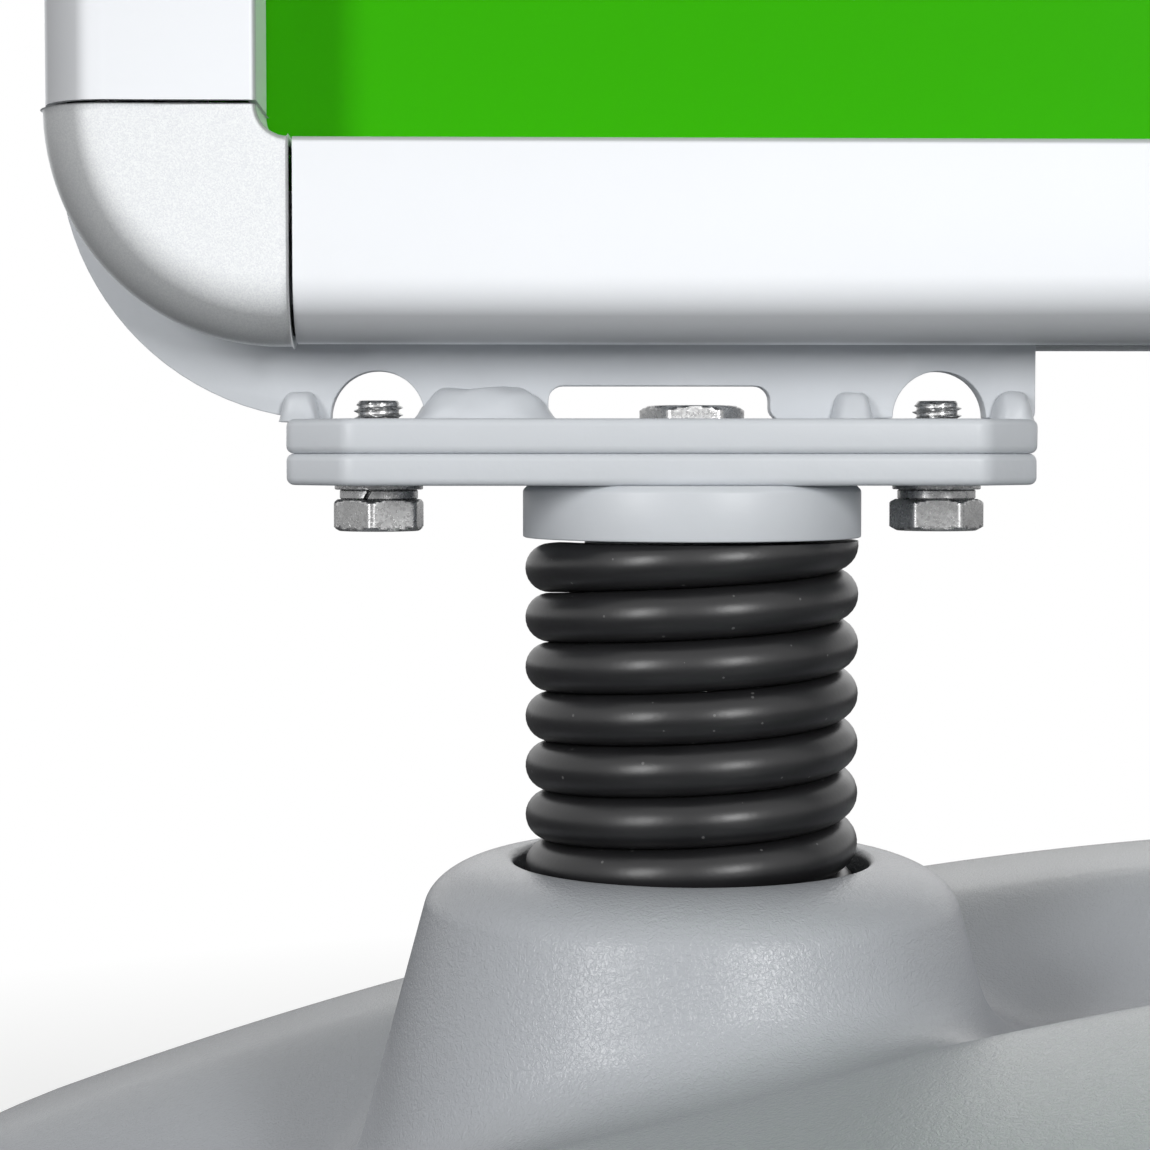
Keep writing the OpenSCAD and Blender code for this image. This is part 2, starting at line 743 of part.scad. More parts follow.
// The shell of a corner piece round its turning axis, with the wall of its notch
module corner_shell() {
    difference() {
        union() {
            rotate([-90, 0, 0]) rotate_extrude(angle = 90) corner_section();
            translate([corner_h - corner_w, 0, 0]) rotate([0, 90, 0])
                linear_extrude(corner_w - corner_h) corner_section();
        }
        translate([corner_h - corner_w, -over, 0]) rotate([-90, 0, 0])
            cylinder(r = corner_notch, h = face_y);
    }
    translate([corner_h - corner_w, 0, 0]) rotate([-90, 0, 0]) rotate_extrude(angle = 90)
        translate([corner_notch, 0]) square([rail_t, lip_v]);
}

// One tongue of a corner piece, from its knee to its tip in the neighbouring profile
module corner_key(reach) {
    key_x = corner_h - wall_u - rail_t - key_w;
    translate([key_x, lip_v - key_h, -key_x - key_w]) cube([key_w, key_h, key_x + key_w + reach]);
}

module sheet_between(w, h, v, t, rear) {
    mirror([0, rear ? 1 : 0, 0])
        translate([-w / 2, -face_y + v, frame_mid - h / 2]) cube([w, t, h]);
}

module back_panel(rear) color([0.8, 0.81, 0.82]) sheet_between(poster_w, poster_h, panel_v, panel_t, rear);

module poster(rear) color([0.22, 0.7, 0.05]) sheet_between(poster_w, poster_h, poster_v, poster_t, rear);

module cover_sheet(rear) color([0.9, 0.95, 0.97, 0.4])
    sheet_between(poster_w, poster_h, cover_v, sheet_t, rear);

module rivet(x, z) {
    translate([x, 0, z]) rotate([90, 0, 0]) {
        cylinder(d = rivet_d, h = bar_t + 2 * rail_t, center = true);
        for (s = [0, 1]) mirror([0, 0, s]) translate([0, 0, bar_t / 2 + rail_t])
            cylinder(d1 = rivet_head_d, d2 = rivet_head_d - rivet_head_t, h = rivet_head_t);
    }
}

module frame_rivets() color([0.8, 0.8, 0.8]) both_sides() for (p = rivet_run(3)) {
    rivet(-frame_w / 2 + p, frame_z + rivet_u);
    rivet(-frame_w / 2 + rivet_u, frame_z + p);
    rivet(-frame_w / 2 + rivet_u, frame_z + frame_h - p);
}

// Section of a snap spring: a bent strip that stands on the profile's floor and leans on the claw
module snap_section() {
    foot_u = wall_u + rail_t;
    tip_u = pivot_u + claw_out + part_clear;
    polygon([
        [foot_u, floor_v],
        [foot_u, floor_v - snap_t],
        [foot_u + key_w - 2 * snap_t, floor_v - snap_t],
        [foot_u + key_w / 2, pivot_v],
        [tip_u, pivot_v],
        [tip_u, pivot_v - snap_t],
        [foot_u + key_w / 2 + snap_t, pivot_v - snap_t],
        [foot_u + key_w, floor_v]
    ]);
}

module snap_springs(rear) color([0.6, 0.62, 0.64]) {
    for (end = [false, true], s = [-1, 1]) {
        translate([s * rail_len_x * snap_x_share, 0, 0]) along_x(end, rear, snap_w) snap_section();
        translate([0, 0, s * rail_len_z * snap_z_share]) along_z(end, rear, snap_w) snap_section();
    }
}

base_tank();
rubber_feet();
wheel(-1);  // wheel_left
wheel(1);  // wheel_right
fill_plug();
lower_spring_cap(-1);  // lower_spring_cap_left
lower_spring_cap(1);  // lower_spring_cap_right
anchor_bolts();
anchor_washers();
spring(-1);  // spring_left
spring(1);  // spring_right
upper_spring_cap(-1);  // upper_spring_cap_left
upper_spring_cap(1);  // upper_spring_cap_right
flange_plate(-1);  // flange_plate_left
flange_plate(1);  // flange_plate_right
centre_bolts();
centre_washers();
foot_plate(-1);  // foot_plate_left
foot_plate(1);  // foot_plate_right
bracket_bar(-1);  // bracket_bar_left
bracket_bar(1);  // bracket_bar_right
clamp_bolts();
clamp_spring_washers();
clamp_flat_washers();
profile_z(false, false);  // front_profile_left
profile_z(true, false);  // front_profile_right
profile_x(true, false);  // front_profile_top
profile_x(false, false);  // front_profile_bottom
profile_z(false, true);  // rear_profile_left
profile_z(true, true);  // rear_profile_right
profile_x(true, true);  // rear_profile_top
profile_x(false, true);  // rear_profile_bottom
corner(false, false, false);  // front_corner_lower_left
corner(true, false, false);  // front_corner_lower_right
corner(false, true, false);  // front_corner_upper_left
corner(true, true, false);  // front_corner_upper_right
corner(false, false, true);  // rear_corner_lower_left
corner(true, false, true);  // rear_corner_lower_right
corner(false, true, true);  // rear_corner_upper_left
corner(true, true, true);  // rear_corner_upper_right
rail_z(false, false);  // front_rail_left
rail_z(true, false);  // front_rail_right
rail_x(true, false);  // front_rail_top
rail_x(false, false);  // front_rail_bottom
rail_z(false, true);  // rear_rail_left
rail_z(true, true);  // rear_rail_right
rail_x(true, true);  // rear_rail_top
rail_x(false, true);  // rear_rail_bottom
back_panel(false);  // front_back_panel
back_panel(true);  // rear_back_panel
poster(false);  // front_poster
poster(true);  // rear_poster
cover_sheet(false);  // front_cover_sheet
cover_sheet(true);  // rear_cover_sheet
top_spacers();
frame_rivets();
snap_springs(false);  // front_snap_springs
snap_springs(true);  // rear_snap_springs
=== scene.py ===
"""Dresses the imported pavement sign: moulded base, coil springs, bracket, bolts, snap frame and poster."""

import math

import bmesh
import bpy
import numpy as np
from bpy.props import FloatProperty, FloatVectorProperty, PointerProperty
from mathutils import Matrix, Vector, noise
from mathutils.geometry import delaunay_2d_cdt


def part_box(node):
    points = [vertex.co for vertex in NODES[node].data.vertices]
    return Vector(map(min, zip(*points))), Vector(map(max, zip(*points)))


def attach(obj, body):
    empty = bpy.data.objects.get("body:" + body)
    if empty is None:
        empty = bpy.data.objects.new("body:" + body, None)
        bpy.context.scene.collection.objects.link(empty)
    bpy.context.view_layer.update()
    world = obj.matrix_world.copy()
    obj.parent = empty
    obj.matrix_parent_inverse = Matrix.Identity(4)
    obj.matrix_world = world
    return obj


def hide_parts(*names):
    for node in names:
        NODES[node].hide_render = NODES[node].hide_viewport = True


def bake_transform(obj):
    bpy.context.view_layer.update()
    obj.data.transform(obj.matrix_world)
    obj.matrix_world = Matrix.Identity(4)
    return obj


bl_info = {
    "name": "Pavement sign",
    "version": (1, 0, 0),
    "blender": (4, 5, 0),
    "location": "3D View > Sidebar > Sign",
    "description": "Builds the looks of a spring-mounted pavement sign round its fixed frame",
    "category": "Add Mesh",
}

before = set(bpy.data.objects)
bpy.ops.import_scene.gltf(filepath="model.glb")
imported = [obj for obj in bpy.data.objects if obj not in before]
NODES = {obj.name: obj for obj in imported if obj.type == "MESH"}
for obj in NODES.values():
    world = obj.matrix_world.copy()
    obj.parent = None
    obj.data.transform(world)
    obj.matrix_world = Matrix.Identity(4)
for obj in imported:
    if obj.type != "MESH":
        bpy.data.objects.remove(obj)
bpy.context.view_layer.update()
MM = 0.001


def low(node):
    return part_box(node)[0]


def high(node):
    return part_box(node)[1]


# Places read from the frame
SPRING_X = (low("upper_spring_cap_right")[0] + high("upper_spring_cap_right")[0]) / 2
RING_Z = high("spring_right")[2]
PLATE_TOP = high("foot_plate_left")[2]
FRAME_Z = low("front_rail_bottom")[2]
FRAME_TOP = high("front_rail_top")[2]
FACE_Y = -low("front_rail_left")[1]
RAIL_W = high("front_rail_left")[0] - low("front_rail_left")[0]
CROSS_W = high("front_rail_bottom")[2] - low("front_rail_bottom")[2]
RAIL_OUT = -low("front_rail_left")[0]
BAR_T = high("top_spacers")[1] * 2


class SignBaseSizes(bpy.types.PropertyGroup):
    """Sizes of the moulded tank"""

    crest: FloatProperty(name="Crest height", default=0.1590, unit="LENGTH",
                         description="Height of the two humps at mid width")
    crest_y: FloatProperty(name="Crest distance", default=0.0536, unit="LENGTH",
                           description="Distance of each hump from the middle plane at mid width")
    spread: FloatProperty(name="Crest spread", default=0.130,
                          description="How far the humps draw apart for each unit along the tank")
    valley: FloatProperty(name="Valley depth", default=0.021, unit="LENGTH",
                          description="Depth of the valley between the humps")
    valley_floor: FloatProperty(name="Valley floor", default=0.012, unit="LENGTH",
                                description="Half width of the valley's flat floor")
    arch: FloatProperty(name="Arch radius", default=0.7135, unit="LENGTH",
                        description="Radius of the long arch that the humps follow at mid width")
    ease: FloatProperty(name="Arch ease", default=0.526,
                        description="How much the arch flattens toward its ends, per square metre")
    shoulder: FloatProperty(name="Shoulder drop", default=0.075, unit="LENGTH",
                            description="Fall of the outer shoulder from hump to skirt")
    corner: FloatProperty(name="Plan corner", default=0.200, unit="LENGTH",
                          description="Plan radius of the tank's corners")
    edge: FloatProperty(name="End rounding", default=0.015, unit="LENGTH",
                        description="Rounding between the top and the end skirts")
    foot: FloatProperty(name="Ground gap", default=0.006, unit="LENGTH",
                        description="Height of the underside above the ground")
    relief_rise: FloatProperty(name="Relief rise", default=0.040, unit="LENGTH",
                               description="Height of the slope along the rear lower edge")
    relief_run: FloatProperty(name="Relief run", default=0.050, unit="LENGTH",
                              description="Depth of the slope along the rear lower edge")
    grid: FloatProperty(name="Grid step", default=0.005, unit="LENGTH",
                        description="Spacing of the points on the open skin")
    rim_z: FloatProperty(name="Rim height", default=0.1667, unit="LENGTH",
                         description="Height of the collar's rim")
    rim_w: FloatProperty(name="Rim width", default=0.0185, unit="LENGTH",
                         description="Width of the collar's rounded rim")
    rim_h: FloatProperty(name="Rim roundness", default=0.011, unit="LENGTH",
                         description="Height of the collar's rounded rim")
    well: FloatProperty(name="Well radius", default=0.0365, unit="LENGTH",
                        description="Radius of the well that the spring stands in")
    well_depth: FloatProperty(name="Well depth", default=0.0467, unit="LENGTH",
                              description="Depth of the well below the rim")
    lead: FloatProperty(name="Well lead-in", default=0.0016, unit="LENGTH",
                        description="Rounding at the mouth of the well")
    flare: FloatProperty(name="Collar flare", default=3.7,
                         description="Fall of the collar's wall for each unit outward")
    fillet: FloatProperty(name="Collar fillet", default=0.022, unit="LENGTH",
                          description="Radius between the collar and the valley")


class SignMetalSizes(bpy.types.PropertyGroup):
    """Sizes of the springs, the bracket and the fasteners"""

    wire: FloatProperty(name="Wire radius", default=0.00502, unit="LENGTH",
                        description="Radius of the spring's coated wire")
    spring: FloatProperty(name="Spring radius", default=0.034, unit="LENGTH",
                          description="Outer radius of the springs")
    pitch: FloatProperty(name="Coil pitch", default=0.01013, unit="LENGTH",
                         description="Rise of the wire in one turn")
    left_turn: FloatProperty(name="Turn height", default=0.2262, unit="LENGTH",
                             description="Height at which the wire passes the left side of its spring")
    coat_edge: FloatProperty(name="Coated edge", default=0.0009, unit="LENGTH",
                             description="Rounding of powder-coated plate edges")
    plate_edge: FloatProperty(name="Plate edge", default=0.0015, unit="LENGTH",
                              description="Rounding of the clamp plates' thickly coated edges")
    plate_cut: FloatProperty(name="Plate corner", default=0.0125, unit="LENGTH",
                             description="Size of the clamp plates' cut corners")
    plate_turn: FloatProperty(name="Plate turn", default=0.006, unit="LENGTH",
                              description="Radius at the ends of the cut corners")
    bar_corner: FloatProperty(name="Bar corner", default=0.054, unit="LENGTH",
                              description="Radius of the bracket bar's outer corner")
    bar_leg: FloatProperty(name="Bar leg", default=0.040, unit="LENGTH",
                           description="Width of the bracket bar's hidden legs")
    gap_r: FloatProperty(name="Bolt opening", default=0.0095, unit="LENGTH",
                         description="Radius of the half-round openings over the bolts")
    slot_w: FloatProperty(name="Slot width", default=0.045, unit="LENGTH",
                          description="Width of the slot over the centre bolt")
    slot_h: FloatProperty(name="Slot height", default=0.0069, unit="LENGTH",
                          description="Height of the slot over the centre bolt")
    bolt_reach: FloatProperty(name="Bolt reach", default=0.057, unit="LENGTH",
                              description="Distance of each clamp bolt from the plate's middle")


class SignFrameSizes(bpy.types.PropertyGroup):
    """Sizes of the snap frame"""

    nose: FloatProperty(name="Nose radius", default=0.013, unit="LENGTH",
                        description="Outer radius of the rail's rounded nose")
    wall: FloatProperty(name="Rail wall", default=0.0016, unit="LENGTH",
                        description="Wall thickness of the rail")
    lip: FloatProperty(name="Lip depth", default=0.0214, unit="LENGTH",
                       description="Depth of the rail's return lip")
    inner_edge: FloatProperty(name="Inner edge", default=0.0013, unit="LENGTH",
                              description="Rounding where the face turns into the return lip")
    notch: FloatProperty(name="Corner notch", default=0.006, unit="LENGTH",
                         description="Radius of the notch in a corner piece at the poster's corner")
    proud: FloatProperty(name="Corner stand-out", default=0.0005, unit="LENGTH",
                         description="How far a corner piece stands proud of the rails")


class SignColours(bpy.types.PropertyGroup):
    """Base colours of the finishes, in linear light"""

    tank: FloatVectorProperty(name="Tank grey", subtype="COLOR", default=(0.415, 0.432, 0.458),
                              description="Moulded tank")
    coat: FloatVectorProperty(name="Bracket grey", subtype="COLOR", default=(0.60, 0.625, 0.655),
                              description="Powder coat of the bracket and plates")
    spring: FloatVectorProperty(name="Spring black", subtype="COLOR", default=(0.012, 0.012, 0.013),
                                description="Coating of the springs")
    rail: FloatVectorProperty(name="Rail silver", subtype="COLOR", default=(0.93, 0.95, 0.98),
                              description="Anodised rails")
    poster: FloatVectorProperty(name="Poster green", subtype="COLOR", default=(0.040, 0.462, 0.0),
                                description="Plain green poster")
    zinc: FloatVectorProperty(name="Zinc", subtype="COLOR", default=(0.50, 0.50, 0.50),
                              description="Zinc plate of the bolts and washers")


class SignView(bpy.types.PropertyGroup):
    """The camera, matched to the photograph's frame of 1150 by 1150 pixels"""

    focal: FloatProperty(name="Focal length", default=80.2, description="Focal length in millimetres")
    place: FloatVectorProperty(name="Camera place", subtype="TRANSLATION", default=(-0.2369, -0.523, 0.250),
                               description="Camera position")
    pitch: FloatProperty(name="Pitch", default=math.radians(-2.77), subtype="ANGLE",
                         description="Tilt of the camera, negative looks down")
    yaw: FloatProperty(name="Yaw", default=math.radians(-1.43), subtype="ANGLE",
                       description="Turn of the camera, negative looks to the right")


GROUPS = (SignBaseSizes, SignMetalSizes, SignFrameSizes, SignColours, SignView)
PROPERTY_NAMES = ("sign_base", "sign_metal", "sign_frame", "sign_colours", "sign_view")


# Mesh helpers


def link(name, mesh):
    piece = bpy.data.objects.new(name, mesh)
    bpy.context.scene.collection.objects.link(piece)
    return piece


def mesh_of(name, points, faces, sharp=35.0):
    mesh = bpy.data.meshes.new(name)
    mesh.from_pydata([tuple(p) for p in points], [], [tuple(f) for f in faces])
    mesh.validate()
    tidy_normals(mesh)
    shade(mesh, sharp)
    return mesh


def tidy_normals(mesh, merge=1e-7):
    bm = bmesh.new()
    bm.from_mesh(mesh)
    bmesh.ops.remove_doubles(bm, verts=bm.verts, dist=merge)
    bmesh.ops.recalc_face_normals(bm, faces=bm.faces)
    bm.to_mesh(mesh)
    bm.free()


def shade(mesh, sharp=35.0):
    mesh.polygons.foreach_set("use_smooth", [True] * len(mesh.polygons))
    if sharp is not None:
        mesh.set_sharp_from_angle(angle=math.radians(sharp))


def join(name, meshes, sharp=35.0):
    """One mesh from several, each kept as its own shell."""
    bm = bmesh.new()
    for mesh in meshes:
        bm.from_mesh(mesh)
    out = bpy.data.meshes.new(name)
    bm.to_mesh(out)
    bm.free()
    for mesh in meshes:
        bpy.data.meshes.remove(mesh)
    shade(out, sharp)
    return out


def moved(mesh, offset=(0, 0, 0), flip=()):
    """Moves a mesh and mirrors it across the named axes, with its faces kept outward."""
    count = len(mesh.vertices)
    co = np.empty(count * 3)
    mesh.vertices.foreach_get("co", co)
    co = co.reshape(-1, 3)
    for axis in flip:
        co[:, axis] *= -1
    co += np.array(offset)
    mesh.vertices.foreach_set("co", co.ravel())
    if len(flip) % 2:
        mesh.flip_normals()
    mesh.update()
    return mesh


def grid_faces(rows, cols, wrap=False):
    """Quads between rows of points, closed round when wrap is set."""
    faces = []
    last = cols if wrap else cols - 1
    for r in range(rows - 1):
        for c in range(last):
            d = (c + 1) % cols
            here, above = r * cols, (r + 1) * cols
            faces.append((here + c, here + d, above + d, above + c))
    return faces


def circle(r, steps, cx=0.0):
    """Points round a circle whose middle lies on the X axis."""
    turns = [math.tau * i / steps for i in range(steps)]
    return [(cx + r * math.cos(a), r * math.sin(a)) for a in turns]


def lathe(name, outline, steps=64, sharp=35.0):
    """Turns an outline of (radius, height) about Z; its ends lie on the axis or it is closed."""
    rows = len(outline)
    points = [(x, y, z) for r, z in outline for x, y in circle(r, steps)]
    faces = grid_faces(rows, steps, wrap=True)
    if outline[0][0] > 1e-6:
        for s in range(steps):
            t = (s + 1) % steps
            faces.append(((rows - 1) * steps + s, (rows - 1) * steps + t, t, s))
    return mesh_of(name, points, faces, sharp)


def extrude(name, outline, place, sharp=35.0):
    """Extrudes a plane outline of (u, v); place(u, v, t) puts a point, with t from -1 to 1."""
    count = len(outline)
    points = [place(u, v, -1) for u, v in outline] + [place(u, v, 1) for u, v in outline]
    faces = grid_faces(2, count, wrap=True)
    faces.append(tuple(range(count - 1, -1, -1)))
    faces.append(tuple(range(count, 2 * count)))
    return mesh_of(name, points, faces, sharp)


def arc(cx, cy, r, a0, a1, steps):
    """Points of an arc from one angle to another, in degrees."""
    return [
        (cx + r * math.cos(math.radians(a0 + (a1 - a0) * i / steps)),
         cy + r * math.sin(math.radians(a0 + (a1 - a0) * i / steps)))
        for i in range(steps + 1)
    ]


def bend(cx, cy, r, start, end, count):
    """Points of a section's arc from one angle to another in degrees, with v running back from the face."""
    return [(cx + r * math.cos(math.radians(a)), cy - r * math.sin(math.radians(a)))
            for a in np.linspace(start, end, count)]


def finish_modifiers(piece):
    """Turns a piece with modifiers into a plain mesh."""
    graph = bpy.context.evaluated_depsgraph_get()
    done = piece.evaluated_get(graph)
    mesh = bpy.data.meshes.new_from_object(done, preserve_all_data_layers=True, depsgraph=graph)
    old = piece.data
    piece.modifiers.clear()
    piece.data = mesh
    bpy.data.meshes.remove(old)
    return piece


def bevel(piece, width, segments=3, angle=30.0):
    mod = piece.modifiers.new("edge", "BEVEL")
    mod.width = width
    mod.segments = segments
    mod.limit_method = "ANGLE"
    mod.angle_limit = math.radians(angle)
    mod.harden_normals = False
    finish_modifiers(piece)
    shade(piece.data, 40.0)
    return piece


def node_copy(node, name, width, segments=2, angle=30.0):
    """A copy of a CAD node with its loose triangles merged, flat faces joined and edges rounded."""
    mesh = NODES[node].data.copy()
    mesh.name = name
    bm = bmesh.new()
    bm.from_mesh(mesh)
    bmesh.ops.remove_doubles(bm, verts=bm.verts, dist=1e-6)
    bmesh.ops.recalc_face_normals(bm, faces=bm.faces)
    bmesh.ops.dissolve_limit(bm, angle_limit=math.radians(0.5), verts=bm.verts, edges=bm.edges)
    bm.to_mesh(mesh)
    bm.free()
    mesh.materials.clear()
    piece = link(name, mesh)
    shade(piece.data, 35.0)
    return bevel(piece, width, segments, angle)


def wear(piece, material):
    piece.data.materials.clear()
    piece.data.materials.append(material)


def place_piece(piece, body, slot, *nodes):
    """Gives a piece the finish of its slot, its body and the CAD nodes that it replaces."""
    wear(piece, material_for(slot))
    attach(piece, body)
    if nodes:
        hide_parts(*nodes)


# Shader helpers


class Sheet:
    """A node tree with short calls to add and join nodes."""

    def __init__(self, tree):
        self.tree = tree

    def add(self, kind, *sources, **values):
        """A new node; sources go to its inputs in order, values to its settings or named inputs."""
        node = self.tree.nodes.new(kind)
        for key, value in values.items():
            if hasattr(node, key):
                setattr(node, key, value)
                continue
            self.feed(value, node.inputs[key.replace("_", " ")])
        for source, target in zip(sources, node.inputs):
            self.feed(source, target)
        return node

    def feed(self, source, target):
        """Links a socket to an input, or sets the input to a plain value."""
        if isinstance(source, bpy.types.NodeSocket):
            self.tree.links.new(source, target)
        else:
            target.default_value = source

    def math(self, operation, *sources):
        return self.add("ShaderNodeMath", *sources, operation=operation).outputs[0]

    def place(self):
        """The piece's own coordinates."""
        return self.add("ShaderNodeTexCoord").outputs["Object"]


def shader_group(name, inputs, outputs):
    """An empty shader node group with named sockets: (name, kind, default)."""
    tree = bpy.data.node_groups.new(name, "ShaderNodeTree")
    for label, kind, default in inputs:
        socket = tree.interface.new_socket(label, in_out="INPUT", socket_type=kind)
        if default is not None:
            socket.default_value = default
    for label, kind in outputs:
        tree.interface.new_socket(label, in_out="OUTPUT", socket_type=kind)
    sheet = Sheet(tree)
    return tree, sheet, sheet.add("NodeGroupInput"), sheet.add("NodeGroupOutput")


def moulded_grain_group():
    """Worm-like moulded grain as a height, with its scale in cells per metre."""
    tree, s, gin, gout = shader_group(
        "moulded_grain",
        [("Scale", "NodeSocketFloat", 800.0), ("Warp", "NodeSocketFloat", 0.35)],
        [("Height", "NodeSocketFloat")],
    )
    place, scale = s.place(), gin.outputs["Scale"]
    swirl = s.add("ShaderNodeTexNoise", Vector=place, Scale=scale, Detail=2.0, Distortion=1.2)
    cells = s.add("ShaderNodeTexVoronoi", feature="SMOOTH_F1", Vector=place, Scale=scale, Smoothness=0.6)
    ridge = s.add("ShaderNodeMapRange", interpolation_type="SMOOTHSTEP",
                  Value=swirl.outputs["Fac"], From_Min=0.28, From_Max=0.72)
    mix = s.add("ShaderNodeMix", data_type="FLOAT", Factor=gin.outputs["Warp"],
                A=ridge.outputs["Result"], B=cells.outputs["Distance"])
    s.feed(mix.outputs["Result"], gout.inputs["Height"])
    return tree


def tone_group():
    """Slow drift of tone over a surface, from large clouds and small mottling."""
    tree, s, gin, gout = shader_group(
        "tone_drift",
        [("Colour", "NodeSocketColor", (0.5, 0.5, 0.5, 1)), ("Scale", "NodeSocketFloat", 20.0),
         ("Amount", "NodeSocketFloat", 0.08)],
        [("Colour", "NodeSocketColor"), ("Cloud", "NodeSocketFloat")],
    )
    cloud = s.add("ShaderNodeTexNoise", Vector=s.place(), Scale=gin.outputs["Scale"], Detail=5.0)
    swing = s.math("SUBTRACT", cloud.outputs["Fac"], 0.5)
    share = s.math("MULTIPLY_ADD", swing, gin.outputs["Amount"], 1.0)
    s.feed(scaled(s, gin.outputs["Colour"], share), gout.inputs["Colour"])
    s.feed(cloud.outputs["Fac"], gout.inputs["Cloud"])
    return tree


def speck_group():
    """Scattered small specks, such as dust or metal flake, as a mask."""
    tree, s, gin, gout = shader_group(
        "specks",
        [("Scale", "NodeSocketFloat", 600.0), ("Size", "NodeSocketFloat", 0.1),
         ("Share", "NodeSocketFloat", 0.3)],
        [("Mask", "NodeSocketFloat"), ("Flake", "NodeSocketFloat")],
    )
    cells = s.add("ShaderNodeTexVoronoi", Vector=s.place(), Scale=gin.outputs["Scale"])
    near = s.math("LESS_THAN", cells.outputs["Distance"], gin.outputs["Size"])
    split = s.add("ShaderNodeSeparateColor", Color=cells.outputs["Color"])
    picked = s.math("LESS_THAN", split.outputs["Red"], gin.outputs["Share"])
    s.feed(s.math("MULTIPLY", near, picked), gout.inputs["Mask"])
    s.feed(split.outputs["Green"], gout.inputs["Flake"])
    return tree


GROUP_MAKERS = {"moulded_grain": moulded_grain_group, "tone_drift": tone_group, "specks": speck_group}


def shader(name, **sockets):
    """A material with a Principled BSDF whose plain values are set on its own sockets."""
    material = bpy.data.materials.new(name)
    material.use_nodes = True
    sheet = Sheet(material.node_tree)
    bsdf = next(n for n in material.node_tree.nodes if n.type == "BSDF_PRINCIPLED")
    for key, value in sockets.items():
        bsdf.inputs[key.replace("_", " ")].default_value = value
    return material, sheet, bsdf


def use_group(sheet, name, **values):
    tree = bpy.data.node_groups.get(name) or GROUP_MAKERS[name]()
    return sheet.add("ShaderNodeGroup", node_tree=tree, **values)


def toned(sheet, colour, scale, amount, bsdf=None):
    """A colour that drifts over the surface, joined to the Base Color when a BSDF is given."""
    node = use_group(sheet, "tone_drift", Colour=(*colour, 1.0), Scale=scale, Amount=amount)
    if bsdf is not None:
        sheet.feed(node.outputs["Colour"], bsdf.inputs["Base Color"])
    return node


def bump(sheet, height, bsdf, distance, strength):
    node = sheet.add("ShaderNodeBump", Strength=strength, Distance=distance, Height=height)
    sheet.feed(node.outputs["Normal"], bsdf.inputs["Normal"])


def ranged(sheet, source, low_value, high_value, start=0.0, end=1.0):
    node = sheet.add("ShaderNodeMapRange", Value=source, From_Min=start, From_Max=end,
                     To_Min=low_value, To_Max=high_value)
    return node.outputs["Result"]


def scaled(sheet, colour, share):
    return sheet.add("ShaderNodeVectorMath", colour, operation="SCALE", Scale=share).outputs["Vector"]


def blend_colour(sheet, mask, first, second):
    """Mixes two colours by a mask; each colour is a socket or a value."""
    mix = sheet.add("ShaderNodeMix", data_type="RGBA", Factor=mask)
    for socket, colour in ((mix.inputs[6], first), (mix.inputs[7], second)):
        sheet.feed((*colour, 1.0) if isinstance(colour, tuple) else colour, socket)
    return mix.outputs[2]


def object_noise(sheet, scale, detail=2.0):
    node = sheet.add("ShaderNodeTexNoise", Vector=sheet.place(), Scale=scale, Detail=detail)
    return node.outputs["Fac"]


def painted_shade_and_sheen(sheet, colour, painted_shade_share, bsdf):
    """Silver darkened by painted shade as it turns away from the eye, and paled again by a painted sheen
    where it is seen edge on.
    """
    facing = sheet.add("ShaderNodeLayerWeight", Blend=0.5).outputs["Facing"]
    # painted shade: the silver darkens where the surface turns from the eye
    turned_shade = ranged(sheet, facing, 0.0, 1.0, 0.0, 0.18)
    # painted sheen: the silver pales again where the surface is seen edge on
    edge_on_sheen = ranged(sheet, facing, 1.0, 0.0, 0.70, 0.92)
    mask = sheet.math("MULTIPLY", turned_shade, edge_on_sheen)
    shaded_silver = blend_colour(sheet, mask, colour, scaled(sheet, colour, painted_shade_share))
    sheet.feed(shaded_silver, bsdf.inputs["Base Color"])


def tank_material(colours):
    """Grey polyethylene with a moulded grain and a broken satin gloss."""
    material, s, bsdf = shader("moulded_tank", Specular_IOR_Level=0.40)
    grain = use_group(s, "moulded_grain", Scale=1150.0, Warp=0.30)
    tone = toned(s, colours.tank, 9.0, 0.10, bsdf)
    s.feed(ranged(s, tone.outputs["Cloud"], 0.22, 0.30), bsdf.inputs["Roughness"])
    bump(s, grain.outputs["Height"], bsdf, 0.00011, 0.9)
    return material


def coat_material(colours):
    """Light grey powder coat: a faint orange peel and slight drifts of tone."""
    material, s, bsdf = shader("bracket_grey", Roughness=0.42)
    toned(s, colours.coat, 55.0, 0.07, bsdf)
    bump(s, object_noise(s, 420.0, 3.0), bsdf, 0.00008, 0.55)
    return material


def spring_material(colours):
    """Satin black coating with fine pale dust."""
    material, s, bsdf = shader("spring_black")
    dust = use_group(s, "specks", Scale=520.0, Size=0.16, Share=0.10)
    tone = toned(s, colours.spring, 70.0, 0.5)
    colour = blend_colour(s, dust.outputs["Mask"], tone.outputs["Colour"], (0.10, 0.10, 0.10))
    s.feed(colour, bsdf.inputs["Base Color"])
    s.feed(ranged(s, tone.outputs["Cloud"], 0.26, 0.46), bsdf.inputs["Roughness"])
    bump(s, object_noise(s, 900.0, 4.0), bsdf, 0.00005, 0.5)
    return material


def rail_material(colours):
    """Satin silver anodised aluminium, with painted shade where it turns from the eye and a painted sheen
    where it is seen edge on.
    """
    material, s, bsdf = shader("silver_rail", Metallic=0.05, Roughness=0.42, Specular_IOR_Level=0.12)
    # painted shade and painted sheen on the rail's silver, set by how it faces the eye
    painted_shade_and_sheen(s, toned(s, colours.rail, 30.0, 0.02).outputs["Colour"], 0.52, bsdf)
    bump(s, object_noise(s, 2600.0), bsdf, 0.00001, 0.35)
    return material


